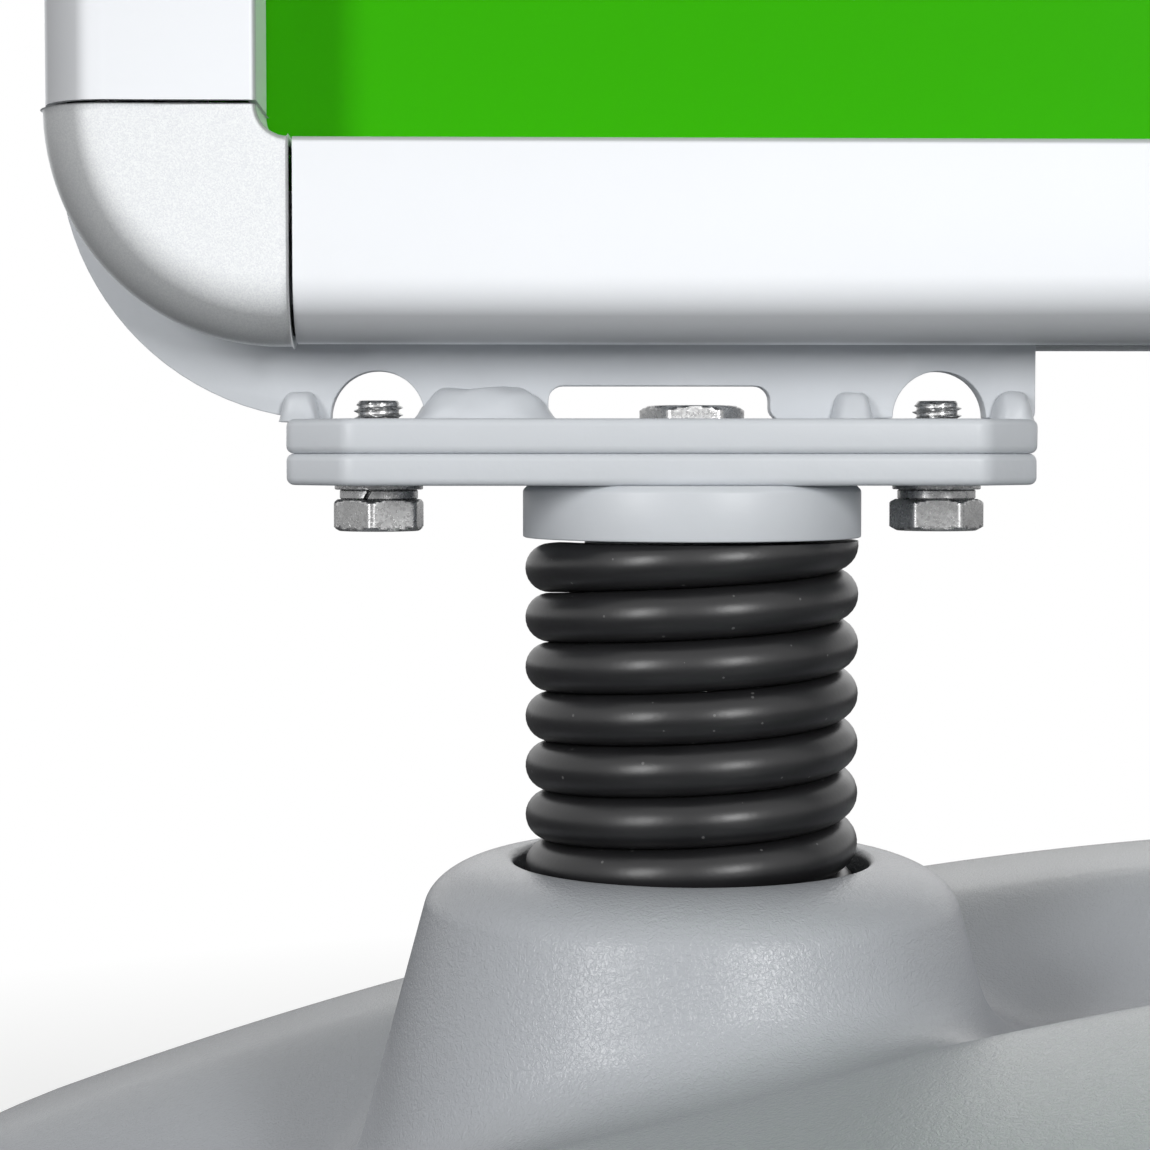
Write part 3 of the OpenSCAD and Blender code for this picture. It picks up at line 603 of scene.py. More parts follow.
def corner_material(colours):
    """Silver paint with fine metal flake, with painted shade where it turns from the eye and a painted sheen
    where it is seen edge on.
    """
    material, s, bsdf = shader("silver_corner", Metallic=0.05, Roughness=0.40, Specular_IOR_Level=0.2)
    flake = use_group(s, "specks", Scale=4200.0, Size=0.5, Share=0.5).outputs["Flake"]
    pale = tuple(min(1.0, c * 1.05) for c in colours.rail)
    deep = tuple(c * 0.90 for c in colours.rail)
    # painted shade and painted sheen on the corner's silver, laid over its real metal flake
    painted_shade_and_sheen(s, blend_colour(s, flake, deep, pale), 0.46, bsdf)
    bump(s, flake, bsdf, 0.00002, 0.35)
    return material


def zinc_material(colours):
    """Bright zinc plate with a crystalline grain."""
    material, s, bsdf = shader("zinc_steel", Metallic=1.0)
    crystals = s.add("ShaderNodeTexVoronoi", Vector=s.place(), Scale=2200.0)
    split = s.add("ShaderNodeSeparateColor", Color=crystals.outputs["Color"])
    toned(s, colours.zinc, 260.0, 0.55, bsdf)
    s.feed(ranged(s, split.outputs["Red"], 0.22, 0.38), bsdf.inputs["Roughness"])
    bump(s, split.outputs["Green"], bsdf, 0.00003, 0.5)
    return material


def poster_material(colours):
    """Plain green print on smooth paper."""
    material, s, bsdf = shader("green_poster", Roughness=0.6, Specular_IOR_Level=0.01)
    toned(s, colours.poster, 3.0, 0.02, bsdf)
    return material


def cover_material():
    """Thin clear sheet with a faint anti-glare haze."""
    material, s, bsdf = shader("clear_sheet", Base_Color=(0.10, 0.12, 0.12, 1.0), Roughness=0.28,
                               Alpha=0.015, Specular_IOR_Level=0.2)
    bump(s, object_noise(s, 1500.0), bsdf, 0.00001, 0.2)
    return material


def dark_plastic_material(name, colour, rough):
    """Black moulded rubber or plastic with a fine grain."""
    material, s, bsdf = shader(name, Roughness=rough)
    toned(s, colour, 40.0, 0.3, bsdf)
    grain = use_group(s, "moulded_grain", Scale=700.0, Warp=0.5)
    bump(s, grain.outputs["Height"], bsdf, 0.00008, 0.6)
    return material


def panel_material():
    """White plastic sheet."""
    material, s, bsdf = shader("white_panel", Roughness=0.45)
    toned(s, (0.72, 0.73, 0.74), 8.0, 0.03, bsdf)
    bump(s, object_noise(s, 900.0), bsdf, 0.00003, 0.3)
    return material


def spring_steel_material():
    """Bare rolled spring steel."""
    material, s, bsdf = shader("spring_steel", Metallic=1.0, Roughness=0.35)
    toned(s, (0.5, 0.5, 0.51), 300.0, 0.3, bsdf)
    bump(s, object_noise(s, 1800.0), bsdf, 0.00002, 0.4)
    return material


def material_for(slot):
    """The finish of a slot, made on first use."""
    found = bpy.data.materials.get(slot)
    if found and found.use_nodes and found.get("sign_finish"):
        return found
    if found:
        found.name = slot + "_plain"
    colours = bpy.context.scene.sign_colours
    makers = {
        "moulded_tank": lambda: tank_material(colours),
        "bracket_grey": lambda: coat_material(colours),
        "spring_black": lambda: spring_material(colours),
        "silver_rail": lambda: rail_material(colours),
        "silver_corner": lambda: corner_material(colours),
        "zinc_steel": lambda: zinc_material(colours),
        "green_poster": lambda: poster_material(colours),
        "clear_sheet": cover_material,
        "white_panel": panel_material,
        "black_rubber": lambda: dark_plastic_material("black_rubber", (0.02, 0.02, 0.021), 0.6),
        "wheel_plastic": lambda: dark_plastic_material("wheel_plastic", (0.022, 0.022, 0.023), 0.45),
        "plug_plastic": lambda: dark_plastic_material("plug_plastic", (0.03, 0.03, 0.031), 0.42),
        "spring_steel": spring_steel_material,
    }
    material = makers[slot]()
    material["sign_finish"] = True
    return material


# The moulded base


class Skin:
    """Height of the tank's moulded top over the plan, worked out from the base's sizes."""

    def __init__(self, sizes):
        self.s = sizes
        self.half_w = high("base_tank")[0]
        self.half_d = high("base_tank")[1]
        self.arch_z = sizes.crest - sizes.arch
        self.rim_low = sizes.rim_z - sizes.rim_h
        self.turn = math.atan(sizes.flare * sizes.rim_w / sizes.rim_h)
        self.wall_r = sizes.well + sizes.rim_w * math.sin(self.turn)
        self.wall_z = self.rim_low + sizes.rim_h * math.cos(self.turn)
        self.wall_angle = math.atan(sizes.flare)

    def section(self, x, y):
        """Distance of the skin from the arch axis at a place in the plan."""
        s = self.s
        y = np.abs(y)
        crest_y = s.crest_y + s.spread * np.abs(x)
        t = np.clip((y - s.valley_floor) / (crest_y - s.valley_floor), 0, 1)
        rise = 0.5 - 0.5 * np.cos(np.pi * t)
        inner = s.arch - s.valley * (1 - rise)
        run = self.half_d - crest_y
        outer = s.arch - s.shoulder * (1 - np.sqrt(np.clip(1 - ((y - crest_y) / run) ** 2, 0, 1)))
        return np.where(y < crest_y, inner, outer)

    def edge_distance(self, x, y):
        """Distance inward from the plan outline, and the share of it that faces along X."""
        s = self.s
        cx = self.half_w - s.corner
        cy = self.half_d - s.corner
        dx = np.abs(x) - cx
        dy = np.abs(y) - cy
        corner = (dx > 0) & (dy > 0)
        round_r = np.hypot(np.maximum(dx, 0), np.maximum(dy, 0))
        dist = np.where(corner, s.corner - round_r, np.minimum(s.corner - dx, s.corner - dy))
        share = np.where(corner, (np.maximum(dx, 0) / np.maximum(round_r, 1e-9)) ** 2, (dx > dy) * 1.0)
        return np.maximum(dist, 0), share

    def open_skin(self, x, y):
        """Height of the skin without the collars."""
        r = self.section(x, y)
        z = np.sqrt(np.maximum(r * r - x * x, 0)) + self.arch_z + self.s.ease * np.abs(x) ** 3
        dist, share = self.edge_distance(x, y)
        radius = self.s.edge
        inner = np.clip(radius - dist, 0, radius)
        drop = radius - np.sqrt(np.maximum(radius ** 2 - inner ** 2, 0))
        return z - drop * share

    def height(self, x, y):
        """Height of the finished skin, collars and their fillets included."""
        s = self.s
        z = self.open_skin(x, y)
        rho = np.hypot(np.abs(x) - SPRING_X, y)
        foot = self.wall_r + (self.wall_z - z) / s.flare
        reach = s.fillet * math.tan(self.wall_angle / 2)
        centre = foot + reach
        touch = foot - reach * math.cos(self.wall_angle)
        wall = self.wall_z - (rho - self.wall_r) * s.flare
        curve = z + s.fillet - np.sqrt(np.maximum(s.fillet ** 2 - np.clip(centre - rho, 0, s.fillet) ** 2, 0))
        out = np.where(rho < centre, curve, z)
        out = np.where(rho < touch, wall, out)
        a = np.clip((rho - s.well) / s.rim_w, 0, 1)
        lead = np.clip((s.well + s.lead - rho) / s.lead, 0, 1)
        rim = self.rim_low + s.rim_h * np.sqrt(1 - a * a) - s.lead * (1 - np.sqrt(1 - lead * lead))
        return np.where(rho < self.wall_r, rim, out)

    def underside(self, y):
        """Height of the underside, with the slope along the rear lower edge."""
        s = self.s
        start = self.half_d - s.relief_run
        return s.foot + np.clip((y - start) / s.relief_run, 0, 1) * s.relief_rise

    def outline(self, inset=0.0, step=0.006):
        """Points of the plan outline, evenly spaced."""
        s = self.s
        cx = self.half_w - s.corner
        cy = self.half_d - s.corner
        r = s.corner - inset
        points = []
        for q, (sx, sy) in enumerate(((1, 1), (-1, 1), (-1, -1), (1, -1))):
            steps = round(r * math.pi / 2 / step)
            points += arc(sx * cx, sy * cy, r, 90 * q, 90 * q + 90, steps)
            nx, ny = ((-1, 1), (-1, -1), (1, -1), (1, 1))[q]
            start = points[-1]
            end = (nx * cx, ny * (cy + r)) if q % 2 == 0 else (nx * (cx + r), ny * cy)
            count = round(math.dist(start, end) / step)
            run_x, run_y = end[0] - start[0], end[1] - start[1]
            points += [(start[0] + run_x * i / count, start[1] + run_y * i / count) for i in range(1, count)]
        return points


def collar_rings(skin):
    """Radii of the rings of points round a collar, closest where the skin turns most."""
    s = skin.s
    rim = [s.well + s.lead * (1 - math.cos(math.pi * i / 12)) for i in range(7)]
    inner, width = s.well + s.lead, skin.wall_r - s.well - s.lead
    rim += [inner + width * math.sin(math.pi * i / 40) for i in range(1, 20)]
    wall = list(np.arange(skin.wall_r, skin.wall_r + 0.030, 0.0011))
    open_part = list(np.arange(wall[-1] + 0.0016, 0.104, 0.0024))
    return rim + wall + open_part


def triangulate(points, loops):
    """Triangles over points in the plane that respect closed loops given as index lists."""
    edges = [(loop[i], loop[(i + 1) % len(loop)]) for loop in loops for i in range(len(loop))]
    out = delaunay_2d_cdt([Vector(p) for p in points], edges, [], 0, 1e-8)
    index = {old: new for new, olds in enumerate(out[3]) for old in olds}
    return [tuple(v) for v in out[0]], [tuple(f) for f in out[2]], index


def band(faces, ring, start):
    """Quads between a ring of point numbers and the new ring that begins at start, which it returns."""
    new = list(range(start, start + len(ring)))
    for a in range(len(ring)):
        b = (a + 1) % len(ring)
        faces.append((ring[a], ring[b], new[b], new[a]))
    return new


def base_mesh(skin):
    """The tank's skin: a triangulated top, wells, skirt and underside, as one closed shell."""
    s = skin.s
    around = 144
    rings = collar_rings(skin)
    outer = rings[-1]
    neck = 0.022
    neck_rings = [neck + step for step in (0.0, 0.0008, 0.0022, 0.0034, 0.0042, 0.0048, 0.007)]
    neck_around = 72
    outline = skin.outline()
    points = list(outline)
    for inset in (0.002, 0.0045, 0.008, 0.012):
        points += skin.outline(inset)
    edge_loop = list(range(len(outline)))
    well_loops = []
    for side in (-1, 1):
        for k, r in enumerate(rings):
            start = len(points)
            points += circle(r, around, side * SPRING_X)
            if k == 0:
                well_loops.append(list(range(start, start + around)))
    for k, r in enumerate(neck_rings):
        start = len(points)
        points += circle(r, neck_around)
        if k == 0:
            neck_loop = list(range(start, start + neck_around))
    nx = round(2 * skin.half_w / s.grid)
    ny = round(2 * skin.half_d / s.grid)
    along = np.linspace(-skin.half_w, skin.half_w, nx + 1)
    across = np.linspace(-skin.half_d, skin.half_d, ny + 1)
    gx, gy = (axis.ravel() for axis in np.meshgrid(along, across))
    dist, _ = skin.edge_distance(gx, gy)
    inside = (np.abs(gx) <= skin.half_w) & (dist > 0.014)
    free = np.hypot(np.abs(gx) - SPRING_X, gy) > outer + 0.0025
    clear = np.hypot(gx, gy) > neck_rings[-1] + 0.003
    keep = inside & free & clear
    points += list(zip(gx[keep], gy[keep]))
    flat, tris, index = triangulate(points, [edge_loop, neck_loop] + well_loops)
    xy = np.array(flat)
    tri = np.array(tris)
    mid = xy[tri].mean(axis=1)
    holes = (np.hypot(np.abs(mid[:, 0]) - SPRING_X, mid[:, 1]) > rings[0] * math.cos(math.pi / around))
    holes &= np.hypot(mid[:, 0], mid[:, 1]) > neck * math.cos(math.pi / neck_around)
    tri = tri[holes]
    z = skin.height(xy[:, 0], xy[:, 1])
    rho = np.hypot(xy[:, 0], xy[:, 1])
    neck_top = low("fill_plug")[2] + 0.016
    lift = np.clip((0.0265 - rho) / 0.0016, 0, 1)
    z = z + (neck_top - z) * (lift * lift * (3 - 2 * lift))
    top = [(x, y, h) for (x, y), h in zip(xy, z)]
    faces = [tuple(t) for t in tri]

    def loop_of(indices):
        return [index[i] for i in indices]

    def wall_down(loop, levels):
        """Rows of points below a loop, closed with a floor."""
        ring = loop
        cx = sum(top[i][0] for i in loop) / len(loop)
        cy = sum(top[i][1] for i in loop) / len(loop)
        for radius_share, level in levels:
            start = len(top)
            for i in loop:
                x, y, _ = top[i]
                top.append((cx + (x - cx) * radius_share, cy + (y - cy) * radius_share, level))
            ring = band(faces, ring, start)
        faces.append(tuple(ring))

    floor_z = s.rim_z - s.well_depth
    for loop in well_loops:
        wall_down(loop_of(loop), [(1, skin.rim_low - 0.006), (1, floor_z + 0.003), (0.93, floor_z)])
    neck_levels = [(1, neck_top - 0.010), (1, neck_top - 0.020), (0.95, neck_top - 0.022)]
    wall_down(loop_of(neck_loop), neck_levels)
    skirt_and_underside(skin, loop_of(edge_loop), top, faces)
    return mesh_of("moulded_base", top, faces, 50.0)


def skirt_and_underside(skin, loop, top, faces):
    """Adds the skirt below the outline loop, its rounded lower edge and the flat underside."""
    rows = 9
    inset_r = 0.006
    ring = loop
    centre_x, centre_y = skin.half_w - skin.s.corner, skin.half_d - skin.s.corner
    base_points = [top[i] for i in loop]

    def inward(x, y, amount):
        cx = math.copysign(centre_x, x) if abs(x) > centre_x else x
        cy = math.copysign(centre_y, y) if abs(y) > centre_y else y
        length = math.hypot(x - cx, y - cy)
        return x - (x - cx) / length * amount, y - (y - cy) / length * amount

    levels = [("down", i / rows) for i in range(1, rows + 1)] + [("round", a) for a in (30, 60, 90)]
    for kind, value in levels:
        start = len(top)
        for x, y, z in base_points:
            under = float(skin.underside(np.array(y)))
            low_z = under + inset_r
            if kind == "down":
                top.append((x, y, z + (low_z - z) * value))
            else:
                a = math.radians(value)
                px, py = inward(x, y, inset_r * (1 - math.cos(a)))
                top.append((px, py, low_z - inset_r * math.sin(a)))
        ring = band(faces, ring, start)
    flat_points = [(top[i][0], top[i][1]) for i in ring]
    relief_y = skin.half_d - skin.s.relief_run
    half = max(p[0] for p in flat_points)
    crease = [(-half + 0.02 + (2 * half - 0.04) * i / 60, relief_y) for i in range(61)]
    crease = [p for p in crease if skin.edge_distance(np.array(p[0]), np.array(p[1]))[0] > inset_r + 0.006]
    out, tris, index = triangulate(flat_points + crease, [list(range(len(flat_points)))])
    edge_of = {index[i]: ring[i] for i in range(len(flat_points))}
    local = []
    for k, (x, y) in enumerate(out):
        if k in edge_of:
            local.append(edge_of[k])
        else:
            local.append(len(top))
            top.append((x, y, float(skin.underside(np.array(y)))))
    for a, b, c in tris:
        faces.append((local[a], local[b], local[c]))


def box_mesh(name, lo, hi):
    points = [(x, y, z) for x in (lo[0], hi[0]) for y in (lo[1], hi[1]) for z in (lo[2], hi[2])]
    faces = [(0, 1, 3, 2), (4, 6, 7, 5), (0, 4, 5, 1), (2, 3, 7, 6), (0, 2, 6, 4), (1, 5, 7, 3)]
    return mesh_of(name, points, faces)


def cut(piece, cutter):
    mod = piece.modifiers.new("cut", "BOOLEAN")
    mod.operation = "DIFFERENCE"
    mod.solver = "MANIFOLD"
    mod.object = cutter
    finish_modifiers(piece)
    mesh = cutter.data
    bpy.data.objects.remove(cutter)
    bpy.data.meshes.remove(mesh)


def cut_pockets(piece):
    """Wheel pockets through the rear skirt, and the two anchor pockets from below."""
    side_gap, air, below, behind = 0.005, 0.004, -0.01, 0.3
    anchor_r, anchor_top = 0.016, 0.1065
    anchor = [(0, below), (anchor_r, below), (anchor_r, anchor_top), (0, anchor_top)]
    for node in ("wheel_left", "wheel_right"):
        lo, hi = low(node), high(node)
        near = (lo[0] + side_gap, lo[1] - air, below)
        far = (hi[0] - side_gap, behind, hi[2] + air)
        cutter = link("pocket", box_mesh("pocket", near, far))
        bevel(cutter, 0.006, 4, 30)
        cut(piece, cutter)
    for side in (-1, 1):
        cutter = link("anchor", lathe("anchor", anchor, 48))
        moved(cutter.data, (side * SPRING_X, 0, 0))
        cut(piece, cutter)


class SIGN_OT_base(bpy.types.Operator):
    """Build the moulded tank with its collars, wells and wheel pockets"""

    bl_idname = "sign.base"
    bl_label = "Moulded base"

    def execute(self, context):
        skin = Skin(context.scene.sign_base)
        piece = link("moulded_base", base_mesh(skin))
        cut_pockets(piece)
        shade(piece.data, 50.0)
        place_piece(piece, "base", "moulded_tank", "base_tank")
        return {"FINISHED"}


# Springs and caps


def geometry_tree(name, inputs):
    """A geometry node tree with named inputs and a geometry output."""
    tree = bpy.data.node_groups.new(name, "GeometryNodeTree")
    tree.interface.new_socket("Geometry", in_out="INPUT", socket_type="NodeSocketGeometry")
    for label, kind, default in inputs:
        socket = tree.interface.new_socket(label, in_out="INPUT", socket_type=kind)
        if default is not None:
            socket.default_value = default
    tree.interface.new_socket("Geometry", in_out="OUTPUT", socket_type="NodeSocketGeometry")
    sheet = Sheet(tree)
    return tree, sheet, sheet.add("NodeGroupInput"), sheet.add("NodeGroupOutput")


def end_tree(sheet, gin, gout, geometry):
    """Realize Instances and Set Material, as the last steps of a tree."""
    real = sheet.add("GeometryNodeRealizeInstances", Geometry=geometry)
    paint = sheet.add("GeometryNodeSetMaterial", Geometry=real.outputs["Geometry"],
                      Material=gin.outputs["Material"])
    sheet.feed(paint.outputs["Geometry"], gout.inputs["Geometry"])


def run_tree(piece, tree, values):
    """Sets a tree's inputs by their identifiers, applies it and leaves a plain mesh."""
    mod = piece.modifiers.new(tree.name, "NODES")
    mod.node_group = tree
    for item in tree.interface.items_tree:
        if item.item_type == "SOCKET" and item.in_out == "INPUT" and item.name in values:
            mod[item.identifier] = values[item.name]
    return finish_modifiers(piece)


def coil_tree():
    """A coil wound on a spiral curve, with round wire."""
    tree, s, gin, gout = geometry_tree("coil_spring", [
        ("Turns", "NodeSocketFloat", 9.0), ("Coil Radius", "NodeSocketFloat", 0.029),
        ("Wire Radius", "NodeSocketFloat", 0.005), ("Height", "NodeSocketFloat", 0.09),
        ("Turn", "NodeSocketFloat", 0.0), ("Place", "NodeSocketVector", (0.0, 0.0, 0.0)),
        ("Material", "NodeSocketMaterial", None),
    ])
    radius = gin.outputs["Coil Radius"]
    spiral = s.add("GeometryNodeCurveSpiral", Resolution=72, Reverse=True, Rotations=gin.outputs["Turns"],
                   Start_Radius=radius, End_Radius=radius, Height=gin.outputs["Height"])
    wire = s.add("GeometryNodeCurvePrimitiveCircle", Resolution=28, Radius=gin.outputs["Wire Radius"])
    sweep = s.add("GeometryNodeCurveToMesh", Curve=spiral.outputs["Curve"],
                  Profile_Curve=wire.outputs["Curve"], Fill_Caps=True)
    spin = s.add("ShaderNodeCombineXYZ", Z=gin.outputs["Turn"])
    turn = s.add("GeometryNodeTransform", Geometry=sweep.outputs["Mesh"],
                 Translation=gin.outputs["Place"], Rotation=spin.outputs["Vector"])
    end_tree(s, gin, gout, turn.outputs["Geometry"])
    return tree


class SIGN_OT_springs(bpy.types.Operator):
    """Wind the two coil springs and dress their caps"""

    bl_idname = "sign.springs"
    bl_label = "Springs"

    def execute(self, context):
        sizes = context.scene.sign_metal
        tree = coil_tree()
        wire = sizes.wire
        well_z = high("lower_spring_cap_right")[2] - 0.024
        bottom = well_z + wire
        phase_at_bottom = 0.5 + (bottom - sizes.left_turn) / sizes.pitch
        end_z = RING_Z + wire * 0.55
        turns = (end_z - bottom) / sizes.pitch
        for side, name in ((-1, "left"), (1, "right")):
            piece = link("coil_spring_" + name, bpy.data.meshes.new("coil_spring_" + name))
            run_tree(piece, tree, {
                "Turns": turns, "Coil Radius": sizes.spring - wire, "Wire Radius": wire,
                "Height": turns * sizes.pitch, "Turn": math.tau * (phase_at_bottom % 1.0),
                "Place": (side * SPRING_X, 0.0, bottom), "Material": material_for("spring_black"),
            })
            self.grind(piece)
            shade(piece.data, 40.0)
            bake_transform(piece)
            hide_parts("spring_" + name)
            for where, body in (("lower", "base"), ("upper", "sign")):
                node = f"{where}_spring_cap_{name}"
                cap = node_copy(node, f"{where}_cap_{name}", 0.00035, 2, 25)
                place_piece(cap, body, "bracket_grey", node)
        return {"FINISHED"}

    def grind(self, piece):
        """Cuts the last coil flat under the cap."""
        bm = bmesh.new()
        bm.from_mesh(piece.data)
        geom = bm.verts[:] + bm.edges[:] + bm.faces[:]
        cap = (0, 0, RING_Z - 0.00005)
        done = bmesh.ops.bisect_plane(bm, geom=geom, plane_co=cap, plane_no=(0, 0, 1), clear_outer=True)
        edges = [e for e in done["geom_cut"] if isinstance(e, bmesh.types.BMEdge)]
        bmesh.ops.holes_fill(bm, edges=edges, sides=0)
        bmesh.ops.recalc_face_normals(bm, faces=bm.faces)
        bm.to_mesh(piece.data)
        bm.free()


# Bracket


def bar_outline(sizes):
    """The bar's flat shape: x from the frame's outer edge inward, z up from the foot plate."""
    lift = FRAME_Z - PLATE_TOP
    plate_mid = RAIL_OUT - (high("foot_plate_right")[0] + low("foot_plate_right")[0]) / 2
    length = RAIL_OUT + high("bracket_bar_left")[0]
    leg_top = high("bracket_bar_right")[2] - PLATE_TOP
    r, g = sizes.bar_corner, sizes.gap_r
    leg = sizes.bar_leg
    slot_r = 0.003
    points = arc(r, r, r, 180, 270, 24)
    for k, mid in enumerate((plate_mid - sizes.bolt_reach, plate_mid, plate_mid + sizes.bolt_reach)):
        if k == 1:
            half = sizes.slot_w / 2
            points += [(mid - half, 0)]
            points += arc(mid - half + slot_r, sizes.slot_h - slot_r, slot_r, 180, 90, 6)
            points += arc(mid + half - slot_r, sizes.slot_h - slot_r, slot_r, 90, 0, 6)
            points += arc(mid + half + 0.0025, 0.0025, 0.0025, 180, 270, 5)
        else:
            points += arc(mid, 0.0004, g, 180, 0, 28)
    points += arc(length - 0.0015, 0.0015, 0.0015, -90, 0, 4)
    points += [(length, lift + leg), (leg + 0.02, lift + leg)]
    points += arc(leg + 0.02, lift + leg + 0.02, 0.02, 270, 180, 8)
    points += [(leg, leg_top), (0, leg_top)]
    return points


def weld_lump(name, half_w, depth, rise, seed):
    """A painted weld: a lump against the bar and the plate, with a slight wander in its surface."""
    across, up = 40, 20
    points = []
    for j in range(up + 1):
        lat = math.pi / 2 * j / up
        for i in range(across):
            a = math.tau * i / across
            ca, sa = math.cos(a), math.sin(a)
            wide = math.copysign(abs(ca) ** 0.72, ca)
            x = half_w * wide * math.cos(lat) ** 0.45
            y = depth * sa * math.cos(lat) ** 0.6
            z = rise * math.sin(lat)
            foot = 1 + 0.16 * (1 - math.sin(lat)) ** 4
            wander = noise.noise(Vector((x * 210 + seed, y * 210, z * 210))) * 0.0010
            points.append((x * foot * (1 + wander * 70), y * foot + wander, z * (1 + wander * 110) - 0.0004))
    faces = grid_faces(up + 1, across, wrap=True)
    faces.append(tuple(range(across - 1, -1, -1)))
    return mesh_of(name, points, faces, 60.0)


def plate_outline(sizes, half_x, half_y, inset):
    """Plan of a clamp plate with cut, rounded corners, drawn in from its edge by an inset."""
    hx, hy = half_x - inset, half_y - inset
    c = sizes.plate_cut - inset * (2 - math.sqrt(2))
    reach = (sizes.plate_turn - inset) * math.tan(math.radians(22.5))
    tips = [(hx, hy - c), (hx - c, hy), (c - hx, hy), (-hx, hy - c),
            (-hx, c - hy), (c - hx, -hy), (hx - c, -hy), (hx, c - hy)]
    points = []
    for k, tip in enumerate(tips):
        tip = Vector(tip)
        start = tip + (Vector(tips[k - 1]) - tip).normalized() * reach
        end = tip + (Vector(tips[(k + 1) % 8]) - tip).normalized() * reach
        for i in range(9):
            s = i / 8
            points.append(start * (1 - s) ** 2 + tip * 2 * s * (1 - s) + end * s * s)
    return points


def plate_mesh(sizes, lo, hi):
    """A clamp plate whose thick coat rounds its edges, with a slight wander."""
    half_x, half_y = (hi[0] - lo[0]) / 2, (hi[1] - lo[1]) / 2
    mid = (lo[0] + hi[0]) / 2
    edge = sizes.plate_edge
    turns = [math.radians(a) for a in range(0, 91, 15)]
    rows = [(edge * (1 - math.sin(a)), edge * (1 - math.cos(a))) for a in turns]
    levels = [(inset, lo[2] + rise) for inset, rise in rows]
    levels += [(inset, hi[2] - rise) for inset, rise in reversed(rows)]
    points = []
    for inset, z in levels:
        for x, y in plate_outline(sizes, half_x, half_y, inset):
            wander = noise.noise(Vector((x * 60 + lo[2] * 900, y * 60, z * 60))) * 0.00025 - 0.00012
            points.append((mid + x * (1 + wander / half_x), y * (1 + wander / half_y), z))
    count = 72
    faces = grid_faces(len(levels), count, wrap=True)
    faces.append(tuple(range(count - 1, -1, -1)))
    last = (len(levels) - 1) * count
    faces.append(tuple(range(last, last + count)))
    return mesh_of("plate", points, faces, 35.0)


class SIGN_OT_bracket(bpy.types.Operator):
    """Build the bracket bars with their welds, the clamp plates and the top spacers"""

    bl_idname = "sign.bracket"
    bl_label = "Bracket"

    def execute(self, context):
        sizes = context.scene.sign_metal
        outline = bar_outline(sizes)
        half = BAR_T / 2
        plate_mid = (high("foot_plate_right")[0] + low("foot_plate_right")[0]) / 2
        welds = ((-0.0726, 0.0038, 0.0046, 0.0060), (-0.0355, 0.0128, 0.0062, 0.0070),
                 (0.0392, 0.0040, 0.0046, 0.0060), (0.0718, 0.0040, 0.0048, 0.0062))
        for side, name in ((-1, "left"), (1, "right")):
            bar = extrude("bar", outline, lambda u, v, t: (u - RAIL_OUT, t * half, PLATE_TOP + v))
            piece = link("bracket_bar_" + name + "_coated", bar)
            bevel(piece, sizes.coat_edge * 0.6, 3, 30)
            lumps = []
            for k, (x, wide, depth, rise) in enumerate(welds):
                for face in (-1, 1):
                    lump = weld_lump("weld", wide, depth, rise, 3.7 * k + face)
                    lumps.append(moved(lump, (x - plate_mid, face * half, PLATE_TOP)))
            mesh = join(piece.name, [piece.data.copy()] + lumps, 40.0)
            piece.data = mesh
            if side > 0:
                moved(piece.data, flip=(0,))
            place_piece(piece, "sign", "bracket_grey", "bracket_bar_" + name)
            for node in ("foot_plate_", "flange_plate_"):
                plate = self.plate(sizes, node + name)
                place_piece(plate, "sign", "bracket_grey", node + name)
        spacers = node_copy("top_spacers", "top_spacer_bars", 0.0006, 2)
        place_piece(spacers, "sign", "bracket_grey", "top_spacers")
        return {"FINISHED"}

    def plate(self, sizes, node):
        """A clamp plate with its three bolt holes."""
        lo, hi = low(node), high(node)
        piece = link(node + "_coated", plate_mesh(sizes, lo, hi))
        mid = (lo[0] + hi[0]) / 2
        reach = sizes.bolt_reach
        start, end = lo[2] - MM, hi[2] + MM
        for x, hole_r in ((mid - reach, 0.0053), (mid, 0.0063), (mid + reach, 0.0053)):
            drill = lathe("drill", [(0, start), (hole_r, start), (hole_r, end), (0, end)], 48)
            cut(piece, link("drill", moved(drill, (x, 0, 0))))
        shade(piece.data, 35.0)
        return piece


# Fasteners


def hex_bolt(name, d, af, head, length, thread_from):
    """A bolt with its bearing face at z = 0, its head below and its thread above."""
    steps = 144
    rows = []
    for share in (0.0, 0.03, 0.07, 0.12, 0.2, 0.5, 0.72, 0.8, 0.87, 0.93, 0.97, 1.0):
        z = head * share
        row = []
        for i in range(steps):
            a = 360 * i / steps
            local = (a % 60) - 30
            flat = af / 2 / math.cos(math.radians(local))
            chamfer = af * 0.475 + (head - z) * 1.9
            near = af * 0.495 + z * 1.9
            r = min(flat, chamfer, near, af * 0.562)
            row.append((r * math.cos(math.radians(a)), r * math.sin(math.radians(a)), -z))
        rows.append(row)
    points = [p for row in rows for p in row]
    faces = grid_faces(len(rows), steps, wrap=True)
    faces.append(tuple(range(steps)))
    faces.append(tuple(range((len(rows) - 1) * steps, len(rows) * steps)))
    head_mesh = mesh_of(name + "_head", points, faces, 28.0)
    return join(name, [head_mesh, thread_mesh(name, d, length, thread_from)], 28.0)


